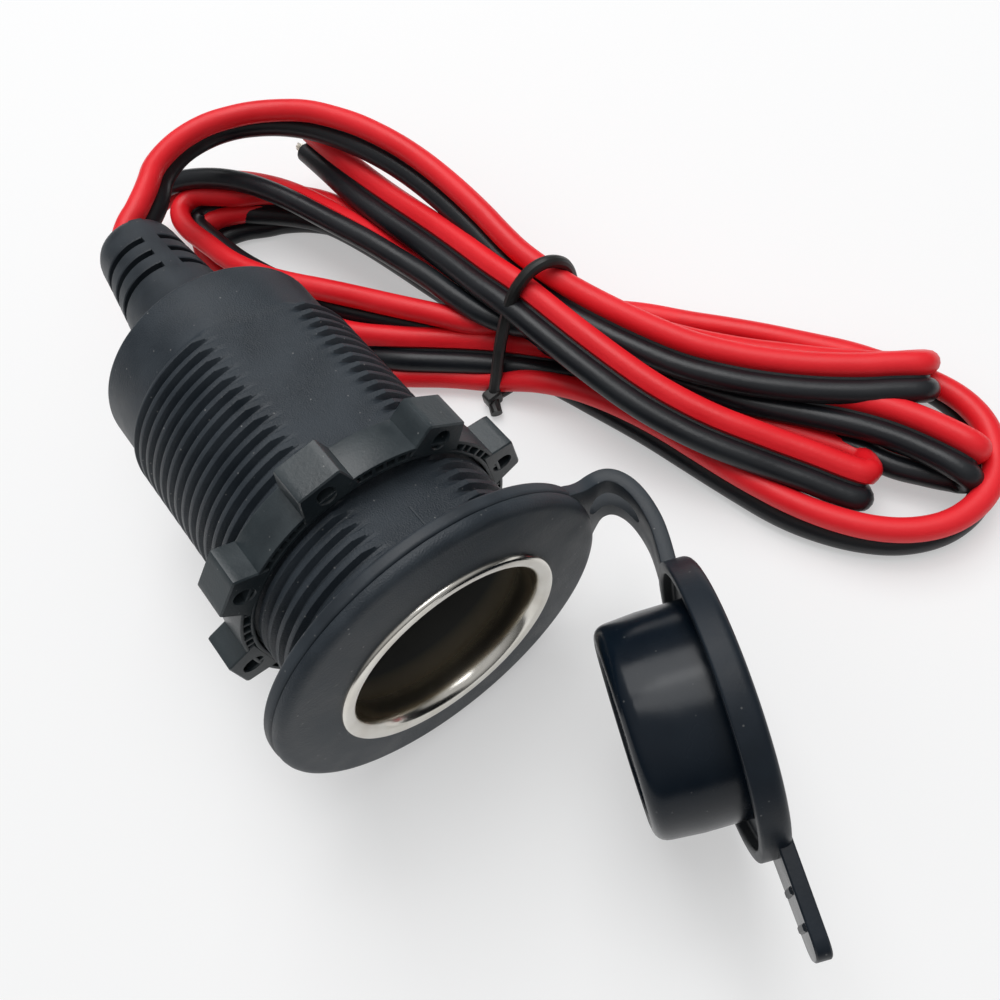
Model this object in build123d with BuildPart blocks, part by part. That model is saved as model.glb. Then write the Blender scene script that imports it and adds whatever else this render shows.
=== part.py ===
"""Panel mounted 12 volt power socket with a tethered cap, a lock nut and a twin lead.

The mouth faces -Y and the barrel runs towards +Y. The cap is tethered on the +X side.
The origin is the centre of the mouth. The socket lies on its side, on the rim of its
cap ring and on the hank of its lead. All sizes are in millimetres.
"""
from build123d import *
from math import asin, cos, pi, radians, sin, sqrt, tan
import os

# Contact liner: the plated tube with its rolled lip
plug_bore_radius = 10.7
liner_wall = 0.6
lip_roll_radius = 0.95
lip_seat = 0.1
plug_bore_end = 26.0
liner_taper_length = 2.5
liner_neck_step = 0.8
liner_neck_length = 5.5
liner_bottom_hole_radius = 4.0

# Housing: flange and threaded barrel in one moulding
liner_clearance = 0.05
lip_clearance = 0.05
barrel_wall = 2.05
flange_overhang = 4.7
flange_cone = 0.35
flange_edge_round = 0.8
flange_thickness = 1.6
liner_shelf = 1.5
chamber_length = 6.4
rear_depth = 5.2
rear_wall = 1.4
barrel_end_chamfer = 0.4

# Thread, run out on two opposite flats
thread_depth = 0.8
thread_pitch = 1.55
thread_lead_in = 3.3
rear_band_length = 8.0
groove_mouth = 0.96
groove_floor = 0.4
flat_direction = 22.1
flat_cut = 0.8
flat_lead_in = 0.3
flat_ramp_length = 5.1

# Cap ring behind the flange, with an ear that the strap grows from
ring_overhang = 0.1
ring_thickness = 1.4
ring_edge_round = 0.45
ring_bore_clearance = 0.05
ear_reach = 2.0
ear_fillet = 2.4

# Lock nut
nut_front = 12.4
nut_thickness = 4.4
nut_ring_wall = 1.6
nut_wing_height = 2.2
nut_wing_root_width = 6.0
nut_wing_tip_width = 4.6
nut_wing_count = 8
nut_wing_direction = -2.4
nut_wing_corner = 0.6
nut_thread_clearance = 0.2
nut_ridge_tip = 0.2
nut_ridge_base = 0.66
nut_pocket_length = 2.6
nut_pocket_width = 1.8
nut_pocket_depth = 3.2
nut_pocket_rim = 0.8
nut_wing_sink = 0.8
nut_slot_width = 0.5
nut_slot_length = 0.9
nut_slot_depth = 3.2
nut_slot_spread = 5.0

# Cap, drawn closed on the mouth, then swung open on its strap
hinge_reach = 3.7
hinge_y = 1.05
open_angle = 66.1
cap_skirt_wall = 1.1
cap_lip_clearance = 0.2
cap_flange_clearance = 0.1
cap_web_clearance = 0.25
cap_web_thickness = 1.6
cap_edge_round = 0.8
plug_reach = 8.0
plug_bore_clearance = 0.5
plug_taper = 0.3
plug_straight = 3.6
plug_tip_round = 1.4
plug_wall = 1.8
tab_length = 8.4
tab_root_width = 6.6
tab_tip_width = 4.8
tab_thickness = 1.4
tab_tip_round = 1.6
tab_ridge_count = 3
tab_ridge_pitch = 1.5
tab_ridge_height = 0.3
tab_ridge_width = 0.6

# Strap from the ring to the cap, bent as it is with the cap open
strap_width = 8.0
strap_thickness = 1.4
strap_cap_gap = 0.1
strap_bend = (-0.55, 1.6)
strap_belly = (0.25, -3.45)
strap_cap_level = -0.85
strap_bend_radius = 2.2
strap_belly_radius = 9.0
strap_slot_length = 7.4
strap_slot_width = 3.4
strap_slot_drop = 3.25

# Rear boot
boot_disc_clearance = 0.05
boot_disc_recess = 0.4
boot_length = 24.6
boot_lean = 2.3
boot_profile = [(7.2, 0.0), (6.3, 10.6), (5.75, 15.4), (5.25, 20.3)]
boot_end_radius = 4.9
boot_end_round = 1.8
boot_slot_first = 12.4
boot_slot_pitch = 2.9
boot_slot_count = 3
boot_slot_width = 1.0
boot_slot_floor = 4.0
boot_spine_width = 2.0
boot_spine_direction = 25.0

# Lead: two wires side by side
wire_radius = 1.45
wire_gap = 0.1
wire_hole_clearance = 0.05
wire_inner_start = -7.6
lead_straight = 3.0
lead_route = [
    (3.2, 76.6, 0.0),
    (6.6, 79.4, -0.2),
    (11.5, 82.0, -1.0),
    (17.0, 83.0, -2.0),
    (22.8, 81.6, -2.8),
    (27.6, 78.0, -3.3),
    (31.2, 72.4, -3.8),
    (33.2, 66.2, -4.2),
    (34.3, 60.6, -4.5),
    (34.9, 55.4, -4.9),
]

# Hank: the folded rest of the lead, lying on the floor
hank_outline = [
    (3.0, 91.0), (1.6, 81.0), (5.0, 70.0), (9.5, 59.5), (14.0, 46.0), (20.0, 35.0), (26.0, 27.5), (31.0, 18.5),
    (34.0, 8.0), (37.0, -5.0), (42.0, -15.5), (49.0, -22.0), (56.5, -24.0), (63.5, -20.5), (68.5, -11.0),
    (68.0, -4.0), (59.0, 2.5), (51.5, 11.5), (45.5, 23.0), (43.0, 35.0), (41.5, 48.0), (39.0, 57.0),
    (33.6, 58.0), (31.4, 67.0), (31.6, 77.0), (25.6, 77.0), (21.0, 84.0), (13.0, 92.0),
]
hank_crown = [(-26.0, -13.0), (-9.0, -9.0), (6.0, -7.0), (26.0, -2.6), (59.0, -2.6), (73.0, -9.5), (94.0, -9.5)]

# Tie round the hank
tie_place = (34.2, 31.2)
tie_direction = -70.0
tie_width = 1.9
tie_thickness = 1.0
tie_loop_width = 16.0
tie_loop_height = 14.0
tie_loop_corner = 4.0
tie_clearance = 0.05
tie_tail_length = 6.0
tie_tail_level = 2.4

# Bare copper at the free end
tip_radius = 0.65
tip_length = 3.0
tip_sunk = 1.0
tip_level = 8.0
tip_place = (28.6, 77.0)

# Centre contact and terminals
insulator_inset = 2.4
insulator_thickness = 0.8
sleeve_clearance = 0.05
washer_inset = 2.0
washer_thickness = 0.8
contact_radius = 4.4
contact_thickness = 0.6
contact_rim_height = 2.0
rivet_radius = 1.4
rivet_clearance = 0.05
rivet_head_radius = 2.5
rivet_head_height = 0.8
terminal_radius = 3.4
terminal_thickness = 0.6
terminal_width = 4.8
terminal_length = 4.4
terminal_wire_gap = 0.05
earth_foot_width = 4.0
earth_foot_height = 1.4
earth_wall_gap = 0.15

# Sizes that follow from those above
lip_radius = plug_bore_radius + 2 * lip_roll_radius
liner_radius = plug_bore_radius + liner_wall
liner_neck_radius = plug_bore_radius - liner_neck_step
liner_bottom_front = plug_bore_end + liner_taper_length + liner_neck_length
liner_back = liner_bottom_front + liner_wall
housing_bore_radius = liner_radius + liner_clearance
thread_root_radius = housing_bore_radius + barrel_wall
thread_crest_radius = thread_root_radius + thread_depth
flange_radius = thread_crest_radius + flange_overhang
flange_back = lip_seat + flange_thickness
chamber_radius = liner_neck_radius + liner_wall - liner_shelf
rear_seat = liner_back + chamber_length
barrel_end = rear_seat + rear_depth
rear_bore_radius = thread_root_radius - rear_wall
flat_distance = thread_root_radius - flat_cut
ring_radius = flange_radius + ring_overhang
ring_bore_radius = thread_crest_radius + ring_bore_clearance
ring_back = flange_back + ring_thickness
flat_start = ring_back + flat_lead_in
thread_first_groove = ring_back + thread_lead_in
thread_groove_count = int((barrel_end - rear_band_length - thread_first_groove) / thread_pitch) + 1
thread_grooves = [thread_first_groove + thread_pitch * i for i in range(thread_groove_count)]
thread_end = thread_grooves[-1] + thread_pitch / 2
nut_bore_radius = thread_crest_radius + nut_thread_clearance
nut_ridge_radius = thread_root_radius + nut_thread_clearance
nut_ring_radius = nut_bore_radius + nut_ring_wall
nut_wing_radius = nut_ring_radius + nut_wing_height
nut_back = nut_front + nut_thickness
skirt_bore_radius = lip_radius + cap_lip_clearance
cap_radius = skirt_bore_radius + cap_skirt_wall
plug_base_radius = plug_bore_radius - plug_bore_clearance
plug_tip_radius = plug_base_radius - plug_taper
hinge_x = ring_radius + hinge_reach
insulator_radius = liner_neck_radius - insulator_inset
washer_radius = chamber_radius - washer_inset
boot_disc_back = barrel_end - boot_disc_recess
wire_spacing = 2 * wire_radius + wire_gap
washer_back = liner_back + washer_thickness
insulator_front = liner_bottom_front - insulator_thickness
contact_front = insulator_front - contact_thickness
terminal_back = washer_back + terminal_thickness
floor_level = -ring_radius

# The boot leans a little towards the cap side: x is across it and y along it
lean = radians(boot_lean)
boot_axis = Vector(sin(lean), cos(lean), 0)
boot_plane = Plane(origin=(0, boot_disc_back, 0), x_dir=(cos(lean), -sin(lean), 0), z_dir=(0, 0, 1))
boot_exit = boot_plane.origin + boot_axis * boot_length


def radial_plane(angle):
    """Plane through the barrel's axis: x points out at an angle from +Z towards +X, y along the barrel."""
    turn = radians(angle)
    return Plane(origin=(0, 0, 0), x_dir=(sin(turn), 0, cos(turn)), z_dir=(-cos(turn), 0, sin(turn)))


def face_plane(place, angle):
    """Plane across the barrel at a place along it: y points out at an angle, z towards the mouth."""
    turn = radians(angle)
    return Plane(origin=(0, place, 0), x_dir=(cos(turn), 0, -sin(turn)), z_dir=(0, -1, 0))


def boot_section(distance):
    """Plane across the boot at a distance from its disc: z along the boot."""
    return Plane(origin=boot_plane.origin + boot_axis * distance, x_dir=boot_plane.x_dir, z_dir=boot_axis)


def corner_radii(route):
    """The largest arc that the two runs at each corner of a route leave room for."""
    points = [Vector(*point) for point in route]
    radii = []
    for before, corner, after in zip(points, points[1:], points[2:]):
        turn = radians((corner - before).get_angle(after - corner))
        shorter_run = min((corner - before).length, (after - corner).length)
        radii.append(0.45 * shorter_run / tan(turn / 2))
    return radii


# Contact liner
with BuildPart() as contact_liner:
    with BuildSketch(Plane.XY):
        with BuildLine():
            neck_start = plug_bore_end + liner_taper_length
            ThreePointArc(
                (plug_bore_radius, 0),
                (plug_bore_radius + lip_roll_radius, -lip_roll_radius),
                (lip_radius, 0),
            )
            Polyline(
                (lip_radius, 0),
                (lip_radius, lip_seat),
                (liner_radius, lip_seat),
                (liner_radius, plug_bore_end),
                (liner_neck_radius + liner_wall, neck_start),
                (liner_neck_radius + liner_wall, liner_back),
                (liner_bottom_hole_radius, liner_back),
                (liner_bottom_hole_radius, liner_bottom_front),
                (liner_neck_radius, liner_bottom_front),
                (liner_neck_radius, neck_start),
                (plug_bore_radius, plug_bore_end),
                (plug_bore_radius, 0),
            )
        make_face()
    revolve(axis=Axis.Y)
contact_liner.part.label = "contact_liner"

# Housing: revolved with its grooves, then cut by the two flats
with BuildPart() as socket_housing:
    barrel_line = []
    for groove in thread_grooves:
        barrel_line.append((thread_crest_radius, groove - groove_mouth / 2))
        barrel_line.append((thread_root_radius, groove - groove_floor / 2))
        barrel_line.append((thread_root_radius, groove + groove_floor / 2))
        barrel_line.append((thread_crest_radius, groove + groove_mouth / 2))
    with BuildSketch(Plane.XY):
        with BuildLine():
            flange_edge = lip_seat + flange_cone
            Polyline(
                (housing_bore_radius, lip_seat),
                (lip_radius + lip_clearance, lip_seat),
                (flange_radius - flange_edge_round, flange_edge),
            )
            RadiusArc(
                (flange_radius - flange_edge_round, flange_edge),
                (flange_radius, flange_edge + flange_edge_round),
                flange_edge_round,
            )
            Polyline(
                (flange_radius, flange_edge + flange_edge_round),
                (flange_radius, flange_back),
                (thread_crest_radius, flange_back),
                *barrel_line,
                (thread_crest_radius, thread_end),
                (thread_root_radius, thread_end + thread_depth),
                (thread_root_radius, barrel_end - barrel_end_chamfer),
                (thread_root_radius - barrel_end_chamfer, barrel_end),
                (rear_bore_radius, barrel_end),
                (rear_bore_radius, rear_seat),
                (chamber_radius, rear_seat),
                (chamber_radius, liner_back),
                (housing_bore_radius, liner_back),
                (housing_bore_radius, lip_seat),
            )
        make_face()
    revolve(axis=Axis.Y)
    for direction in (flat_direction, flat_direction + 180):
        with BuildSketch(radial_plane(direction)):
            with BuildLine():
                Polyline(
                    (flat_distance, flat_start),
                    (flat_distance, thread_end),
                    (thread_root_radius, thread_end + flat_ramp_length),
                    (2 * thread_crest_radius, thread_end + flat_ramp_length),
                    (2 * thread_crest_radius, flat_start),
                    close=True,
                )
            make_face()
        extrude(amount=thread_crest_radius, both=True, mode=Mode.SUBTRACT)
socket_housing.part.label = "socket_housing"

# Soft ring between the flange and the panel, with the ear that the strap grows from
with BuildPart() as cap_ring:
    with BuildSketch(Plane.XZ.offset(-flange_back)) as ring_face:
        Circle(ring_radius)
        with Locations((ring_radius / 2, 0)):
            Rectangle(ring_radius + 2 * ear_reach, strap_width)
        fillet(ring_face.vertices().group_by(Axis.X)[0], ear_fillet)
        Circle(ring_bore_radius, mode=Mode.SUBTRACT)
    extrude(amount=-ring_thickness)
    for side in (0, -1):
        rim = cap_ring.faces().sort_by(Axis.Y)[side].outer_wire()
        fillet(rim.edges().filter_by(Axis.Z, reverse=True), ring_edge_round)
cap_ring.part.label = "cap_ring"

# Lock nut: a ring with inner ridges that run in the thread, gripping wings, and moulded hollows
with BuildPart() as lock_nut:
    nut_grooves = [g for g in thread_grooves if nut_front + nut_ridge_base < g < nut_back - nut_ridge_base]
    bore_line = []
    for groove in nut_grooves:
        bore_line.append((nut_bore_radius, groove - nut_ridge_base / 2))
        bore_line.append((nut_ridge_radius, groove - nut_ridge_tip / 2))
        bore_line.append((nut_ridge_radius, groove + nut_ridge_tip / 2))
        bore_line.append((nut_bore_radius, groove + nut_ridge_base / 2))
    with BuildSketch(Plane.XY):
        with BuildLine():
            Polyline(
                (nut_bore_radius, nut_front),
                *bore_line,
                (nut_bore_radius, nut_back),
                (nut_ring_radius, nut_back),
                (nut_ring_radius, nut_front),
                close=True,
            )
        make_face()
    revolve(axis=Axis.Y)
    wing_turns = [nut_wing_direction + i * 360 / nut_wing_count for i in range(nut_wing_count)]
    wing_foot = nut_ring_radius - nut_wing_sink
    for turn in wing_turns:
        with BuildSketch(face_plane(nut_front, turn)) as wing:
            with BuildLine():
                Polyline(
                    (-nut_wing_root_width / 2, wing_foot),
                    (-nut_wing_tip_width / 2, nut_wing_radius),
                    (nut_wing_tip_width / 2, nut_wing_radius),
                    (nut_wing_root_width / 2, wing_foot),
                    close=True,
                )
            make_face()
            fillet(wing.vertices().group_by(Axis.Y)[-1], nut_wing_corner)
        extrude(amount=-nut_thickness)
    for turn in wing_turns:
        with BuildSketch(face_plane(nut_front, turn)):
            with Locations((0, nut_wing_radius - nut_pocket_rim - nut_pocket_length / 2)):
                SlotOverall(nut_pocket_length, nut_pocket_width, rotation=90)
        extrude(amount=-nut_pocket_depth, mode=Mode.SUBTRACT)
        for step in (-1, 0, 1):
            slot_turn = turn + 180 / nut_wing_count + step * nut_slot_spread
            with BuildSketch(face_plane(nut_front, slot_turn)):
                with Locations((0, wing_foot)):
                    Rectangle(nut_slot_width, nut_slot_length)
            extrude(amount=-nut_slot_depth, mode=Mode.SUBTRACT)
lock_nut.part.label = "lock_nut"

# Cap: web, sealing skirt, hollow plug and pull tab
with BuildPart() as closed_cap:
    web_back = -lip_roll_radius - cap_web_clearance
    web_front = web_back - cap_web_thickness
    skirt_front = lip_seat - cap_flange_clearance
    with BuildSketch(Plane.XY):
        with BuildLine():
            Line((0, web_front), (cap_radius - cap_edge_round, web_front))
            RadiusArc(
                (cap_radius - cap_edge_round, web_front),
                (cap_radius, web_front + cap_edge_round),
                cap_edge_round,
            )
            Polyline(
                (cap_radius, web_front + cap_edge_round),
                (cap_radius, skirt_front),
                (skirt_bore_radius, skirt_front),
                (skirt_bore_radius, web_back),
                (plug_base_radius, web_back),
                (plug_base_radius, plug_straight),
                (plug_tip_radius, plug_reach - plug_tip_round),
            )
            RadiusArc(
                (plug_tip_radius, plug_reach - plug_tip_round),
                (plug_tip_radius - plug_tip_round, plug_reach),
                -plug_tip_round,
            )
            Polyline(
                (plug_tip_radius - plug_tip_round, plug_reach),
                (plug_tip_radius - plug_wall, plug_reach),
                (plug_base_radius - plug_wall, plug_straight),
                (plug_base_radius - plug_wall, web_back),
                (0, web_back),
                (0, web_front),
            )
        make_face()
    revolve(axis=Axis.Y)
    with BuildSketch(Plane.XZ.offset(-web_front)) as tab:
        with BuildLine():
            tab_root = -(cap_radius - cap_edge_round)
            tab_tip = -(cap_radius + tab_length)
            Polyline(
                (tab_root, tab_root_width / 2),
                (tab_tip, tab_tip_width / 2),
                (tab_tip, -tab_tip_width / 2),
                (tab_root, -tab_root_width / 2),
                close=True,
            )
        make_face()
        fillet(tab.vertices().group_by(Axis.X)[0], tab_tip_round)
    extrude(amount=-tab_thickness)
    for i in range(tab_ridge_count):
        ridge_place = tab_tip + tab_tip_round + i * tab_ridge_pitch
        with Locations((ridge_place, web_front + tab_thickness, 0)):
            Box(tab_ridge_width, 2 * tab_ridge_height, tab_tip_width - 2 * tab_ridge_height)

dust_cap = closed_cap.part.rotate(Axis((hinge_x, hinge_y, 0), (0, 0, 1)), open_angle)
dust_cap.label = "dust_cap"

# Strap, ending just short of the cap's rim
swing = radians(open_angle)
cap_plane = Plane(
    origin=(
        hinge_x - hinge_x * cos(swing) + hinge_y * sin(swing),
        hinge_y - hinge_x * sin(swing) - hinge_y * cos(swing),
        0,
    ),
    z_dir=(sin(swing), -cos(swing), 0),
)

with BuildPart() as cap_strap:
    strap_level = (flange_back + ring_back) / 2
    strap_end = cap_plane.origin + Vector(
        cap_radius * cos(swing) - strap_cap_level * sin(swing),
        cap_radius * sin(swing) + strap_cap_level * cos(swing),
    )
    with BuildSketch(Plane.XY.offset(-strap_width / 2)):
        with BuildLine():
            FilletPolyline(
                (ring_radius, strap_level),
                (hinge_x + strap_bend[0], hinge_y + strap_bend[1]),
                (hinge_x + strap_belly[0], hinge_y + strap_belly[1]),
                (strap_end.X, strap_end.Y),
                radius=[strap_bend_radius, strap_belly_radius],
            )
        trace(line_width=strap_thickness)
    extrude(amount=strap_width)
    Box(2 * (ring_radius + ear_reach), 2 * ring_back, 2 * strap_width, mode=Mode.SUBTRACT)
    with BuildSketch(Plane.YZ.offset(hinge_x - 2 * strap_thickness)):
        with Locations((hinge_y - strap_slot_drop, 0)):
            SlotOverall(strap_slot_length, strap_slot_width)
    extrude(amount=4 * strap_thickness, mode=Mode.SUBTRACT)
    with BuildSketch(cap_plane):
        Circle(cap_radius + strap_cap_gap)
    extrude(amount=cap_radius, both=True, mode=Mode.SUBTRACT)
cap_strap.part.label = "cap_strap"

# Rear boot: a disc that closes the barrel and a slotted neck that bends with the lead
with BuildPart() as strain_relief:
    with BuildSketch(Plane.XZ.offset(-rear_seat)):
        Circle(rear_bore_radius - boot_disc_clearance)
    extrude(amount=-(boot_disc_back - rear_seat))
    with BuildSketch(boot_plane):
        with BuildLine():
            Polyline(
                (0, 0),
                *boot_profile,
                (boot_end_radius, boot_length - boot_end_round),
            )
            RadiusArc(
                (boot_end_radius, boot_length - boot_end_round),
                (boot_end_radius - boot_end_round, boot_length),
                -boot_end_round,
            )
            Polyline((boot_end_radius - boot_end_round, boot_length), (0, boot_length), (0, 0))
        make_face()
    revolve(axis=Axis(boot_plane.origin, boot_axis))
    for i in range(boot_slot_count):
        with BuildSketch(boot_section(boot_slot_first + i * boot_slot_pitch - boot_slot_width / 2)):
            Circle(2 * boot_slot_floor)
            Circle(boot_slot_floor, mode=Mode.SUBTRACT)
            Rectangle(boot_spine_width, 5 * boot_slot_floor, rotation=boot_spine_direction, mode=Mode.SUBTRACT)
        extrude(amount=boot_slot_width, mode=Mode.SUBTRACT)
    with BuildSketch(boot_section(wire_inner_start)):
        SlotCenterToCenter(wire_spacing, 2 * (wire_radius + wire_hole_clearance), rotation=90)
    extrude(amount=boot_length - wire_inner_start, mode=Mode.SUBTRACT)
strain_relief.part.label = "strain_relief"


def inner_wire(side, label):
    """One wire inside the boot, from its terminal to the boot's end."""
    with BuildPart() as wire:
        with BuildSketch(boot_section(wire_inner_start)):
            with Locations((0, -side * wire_spacing / 2)):
                Circle(wire_radius)
        extrude(amount=boot_length - wire_inner_start)
    wire.part.label = label
    return wire.part


def lead_wire(side, label):
    """One wire of the lead, from the boot's end into the hank."""
    rise = Vector(0, 0, side * wire_spacing / 2)
    start = [boot_exit + rise, boot_exit + boot_axis * lead_straight + rise]
    route = start + [Vector(*point) + rise for point in lead_route]
    radii = corner_radii(route)
    with BuildPart() as wire:
        with BuildLine() as path:
            FilletPolyline(*route, radius=radii)
        with BuildSketch(Plane(origin=route[0], z_dir=route[1] - route[0])):
            Circle(wire_radius)
        sweep()
    wire.part.label = label
    length = sum(edge.length for edge in path.edges())
    print(label, "length", round(length, 1), "radii", [round(radius, 1) for radius in radii])
    print(label, "volume", round(wire.part.volume, 1), "expected", round(pi * wire_radius ** 2 * length, 1))
    return wire.part


inner_wire_red = inner_wire(1, "inner_wire_red")
inner_wire_black = inner_wire(-1, "inner_wire_black")
lead_red = lead_wire(1, "lead_red")
lead_black = lead_wire(-1, "lead_black")

# Hank, waisted where the tie goes round it
tie_turn = radians(tie_direction)
tie_plane = Plane(
    origin=(tie_place[0], tie_place[1], floor_level + tie_thickness + tie_loop_height / 2),
    x_dir=(-sin(tie_turn), cos(tie_turn), 0),
    z_dir=(cos(tie_turn), sin(tie_turn), 0),
)

with BuildPart() as lead_hank:
    crown_top = max(level for place, level in hank_crown)
    with BuildSketch(Plane.XY.offset(floor_level)):
        with BuildLine():
            Polyline(*hank_outline, close=True)
        make_face()
    extrude(amount=crown_top - floor_level)
    with BuildSketch(Plane.YZ):
        with BuildLine():
            Polyline(*hank_crown, (hank_crown[-1][0], -floor_level), (hank_crown[0][0], -floor_level), close=True)
        make_face()
    extrude(amount=4 * ring_radius, mode=Mode.SUBTRACT)
    with BuildSketch(tie_plane):
        Rectangle(2 * tie_loop_width, 2 * tie_loop_height)
        RectangleRounded(
            tie_loop_width - 2 * tie_clearance,
            tie_loop_height - 2 * tie_clearance,
            tie_loop_corner,
            mode=Mode.SUBTRACT,
        )
    extrude(amount=tie_width / 2 + tie_clearance, both=True, mode=Mode.SUBTRACT)
lead_hank.part.label = "lead_hank"

with BuildPart() as cable_tie:
    with BuildSketch(tie_plane):
        RectangleRounded(
            tie_loop_width + 2 * tie_thickness,
            tie_loop_height + 2 * tie_thickness,
            tie_loop_corner + tie_thickness,
        )
        with Locations((-(tie_loop_width + tie_tail_length) / 2, tie_tail_level - tie_loop_height / 2)):
            Rectangle(tie_tail_length, tie_thickness)
        RectangleRounded(tie_loop_width, tie_loop_height, tie_loop_corner, mode=Mode.SUBTRACT)
    extrude(amount=tie_width / 2, both=True)
cable_tie.part.label = "cable_tie"

# Stripped ends of the two wires
with BuildPart() as bare_tips:
    with BuildSketch(Plane.XZ.offset(tip_sunk - tip_place[1])):
        with Locations(
            (tip_place[0] - wire_radius, floor_level + tip_level),
            (tip_place[0] + wire_radius, floor_level + tip_level),
        ):
            Circle(tip_radius)
    extrude(amount=-(tip_length + tip_sunk))
bare_tips.part.label = "bare_tips"

# Centre contact, riveted through the liner's bottom and insulated from it
shank_bore_radius = rivet_radius + rivet_clearance

with BuildPart() as centre_insulator:
    with BuildSketch(Plane.XY):
        with BuildLine():
            sleeve_radius = liner_bottom_hole_radius - sleeve_clearance
            Polyline(
                (shank_bore_radius, insulator_front),
                (insulator_radius, insulator_front),
                (insulator_radius, liner_bottom_front),
                (sleeve_radius, liner_bottom_front),
                (sleeve_radius, washer_back),
                (shank_bore_radius, washer_back),
                close=True,
            )
        make_face()
    revolve(axis=Axis.Y)
centre_insulator.part.label = "centre_insulator"

with BuildPart() as centre_contact:
    with BuildSketch(Plane.XY):
        with BuildLine():
            rim_front = contact_front - contact_rim_height
            Polyline(
                (shank_bore_radius, insulator_front),
                (contact_radius, insulator_front),
                (contact_radius, rim_front),
                (contact_radius - contact_thickness, rim_front),
                (contact_radius - contact_thickness, contact_front),
                (shank_bore_radius, contact_front),
                close=True,
            )
        make_face()
    revolve(axis=Axis.Y)
centre_contact.part.label = "centre_contact"

with BuildPart() as contact_rivet:
    with BuildSketch(Plane.XY):
        with BuildLine():
            dome_radius = (rivet_head_radius ** 2 + rivet_head_height ** 2) / (2 * rivet_head_height)
            dome_half_turn = asin(rivet_head_radius / dome_radius) / 2
            dome_middle = dome_radius * sin(dome_half_turn)
            dome_drop = dome_radius * (1 - cos(dome_half_turn))
            rivet_front = contact_front - rivet_head_height
            rivet_back = terminal_back + rivet_head_height
            Line((0, rivet_front), (0, rivet_back))
            ThreePointArc(
                (0, rivet_back),
                (dome_middle, rivet_back - dome_drop),
                (rivet_head_radius, terminal_back),
            )
            Polyline(
                (rivet_head_radius, terminal_back),
                (rivet_radius, terminal_back),
                (rivet_radius, contact_front),
                (rivet_head_radius, contact_front),
            )
            ThreePointArc(
                (rivet_head_radius, contact_front),
                (dome_middle, rivet_front + dome_drop),
                (0, rivet_front),
            )
        make_face()
    revolve(axis=Axis.Y)
contact_rivet.part.label = "contact_rivet"

with BuildPart() as rear_washer:
    with BuildSketch(Plane.XZ.offset(-liner_back)):
        Circle(washer_radius)
        Circle(liner_bottom_hole_radius, mode=Mode.SUBTRACT)
    extrude(amount=-washer_thickness)
rear_washer.part.label = "rear_washer"

wire_edge = wire_spacing / 2 + wire_radius + terminal_wire_gap

with BuildPart() as positive_terminal:
    with BuildSketch(Plane.XZ.offset(-washer_back)):
        Circle(terminal_radius)
        with Locations((0, wire_edge / 2 + terminal_thickness / 2)):
            Rectangle(terminal_width, wire_edge + terminal_thickness)
        Circle(shank_bore_radius, mode=Mode.SUBTRACT)
    extrude(amount=-terminal_thickness)
    with BuildSketch(Plane.XZ.offset(-washer_back)):
        with Locations((0, wire_edge + terminal_thickness / 2)):
            Rectangle(terminal_width, terminal_thickness)
    extrude(amount=-terminal_length)
positive_terminal.part.label = "positive_terminal"

with BuildPart() as negative_terminal:
    foot_bottom = -sqrt((chamber_radius - earth_wall_gap) ** 2 - (earth_foot_width / 2) ** 2)
    foot_top = foot_bottom + earth_foot_height
    arm_back = washer_back + terminal_length
    with BuildSketch(Plane.YZ):
        with BuildLine():
            Polyline(
                (liner_back, foot_bottom),
                (arm_back, foot_bottom),
                (arm_back, -wire_edge),
                (arm_back - terminal_thickness, -wire_edge),
                (arm_back - terminal_thickness, foot_bottom + terminal_thickness),
                (liner_back + terminal_thickness, foot_bottom + terminal_thickness),
                (liner_back + terminal_thickness, foot_top),
                (liner_back, foot_top),
                close=True,
            )
        make_face()
    extrude(amount=earth_foot_width / 2, both=True)
negative_terminal.part.label = "negative_terminal"

os.makedirs("parts", exist_ok=True)
finished_parts = [
    contact_liner.part,
    socket_housing.part,
    cap_ring.part,
    lock_nut.part,
    dust_cap,
    cap_strap.part,
    strain_relief.part,
    inner_wire_red,
    inner_wire_black,
    lead_red,
    lead_black,
    lead_hank.part,
    cable_tie.part,
    bare_tips.part,
    centre_insulator.part,
    centre_contact.part,
    contact_rivet.part,
    rear_washer.part,
    positive_terminal.part,
    negative_terminal.part,
]
for piece in finished_parts:
    export_step(piece, f"parts/{piece.label}.step")
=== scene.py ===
"""Looks of a panel mounted 12 volt power socket with a tethered cap, a lock nut and a twin lead.

Sizes and places are in millimetres until a mesh is made, and the frame is the part's own:
the mouth faces -Y, the barrel runs towards +Y, the cap is tethered on the +X side, +Z is up.
A turn round the barrel is counted in degrees from +Z towards +X.
"""
import bmesh
import bpy
from math import acos, ceil, cos, degrees, pi, radians, sin
from mathutils import Matrix, Vector


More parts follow.
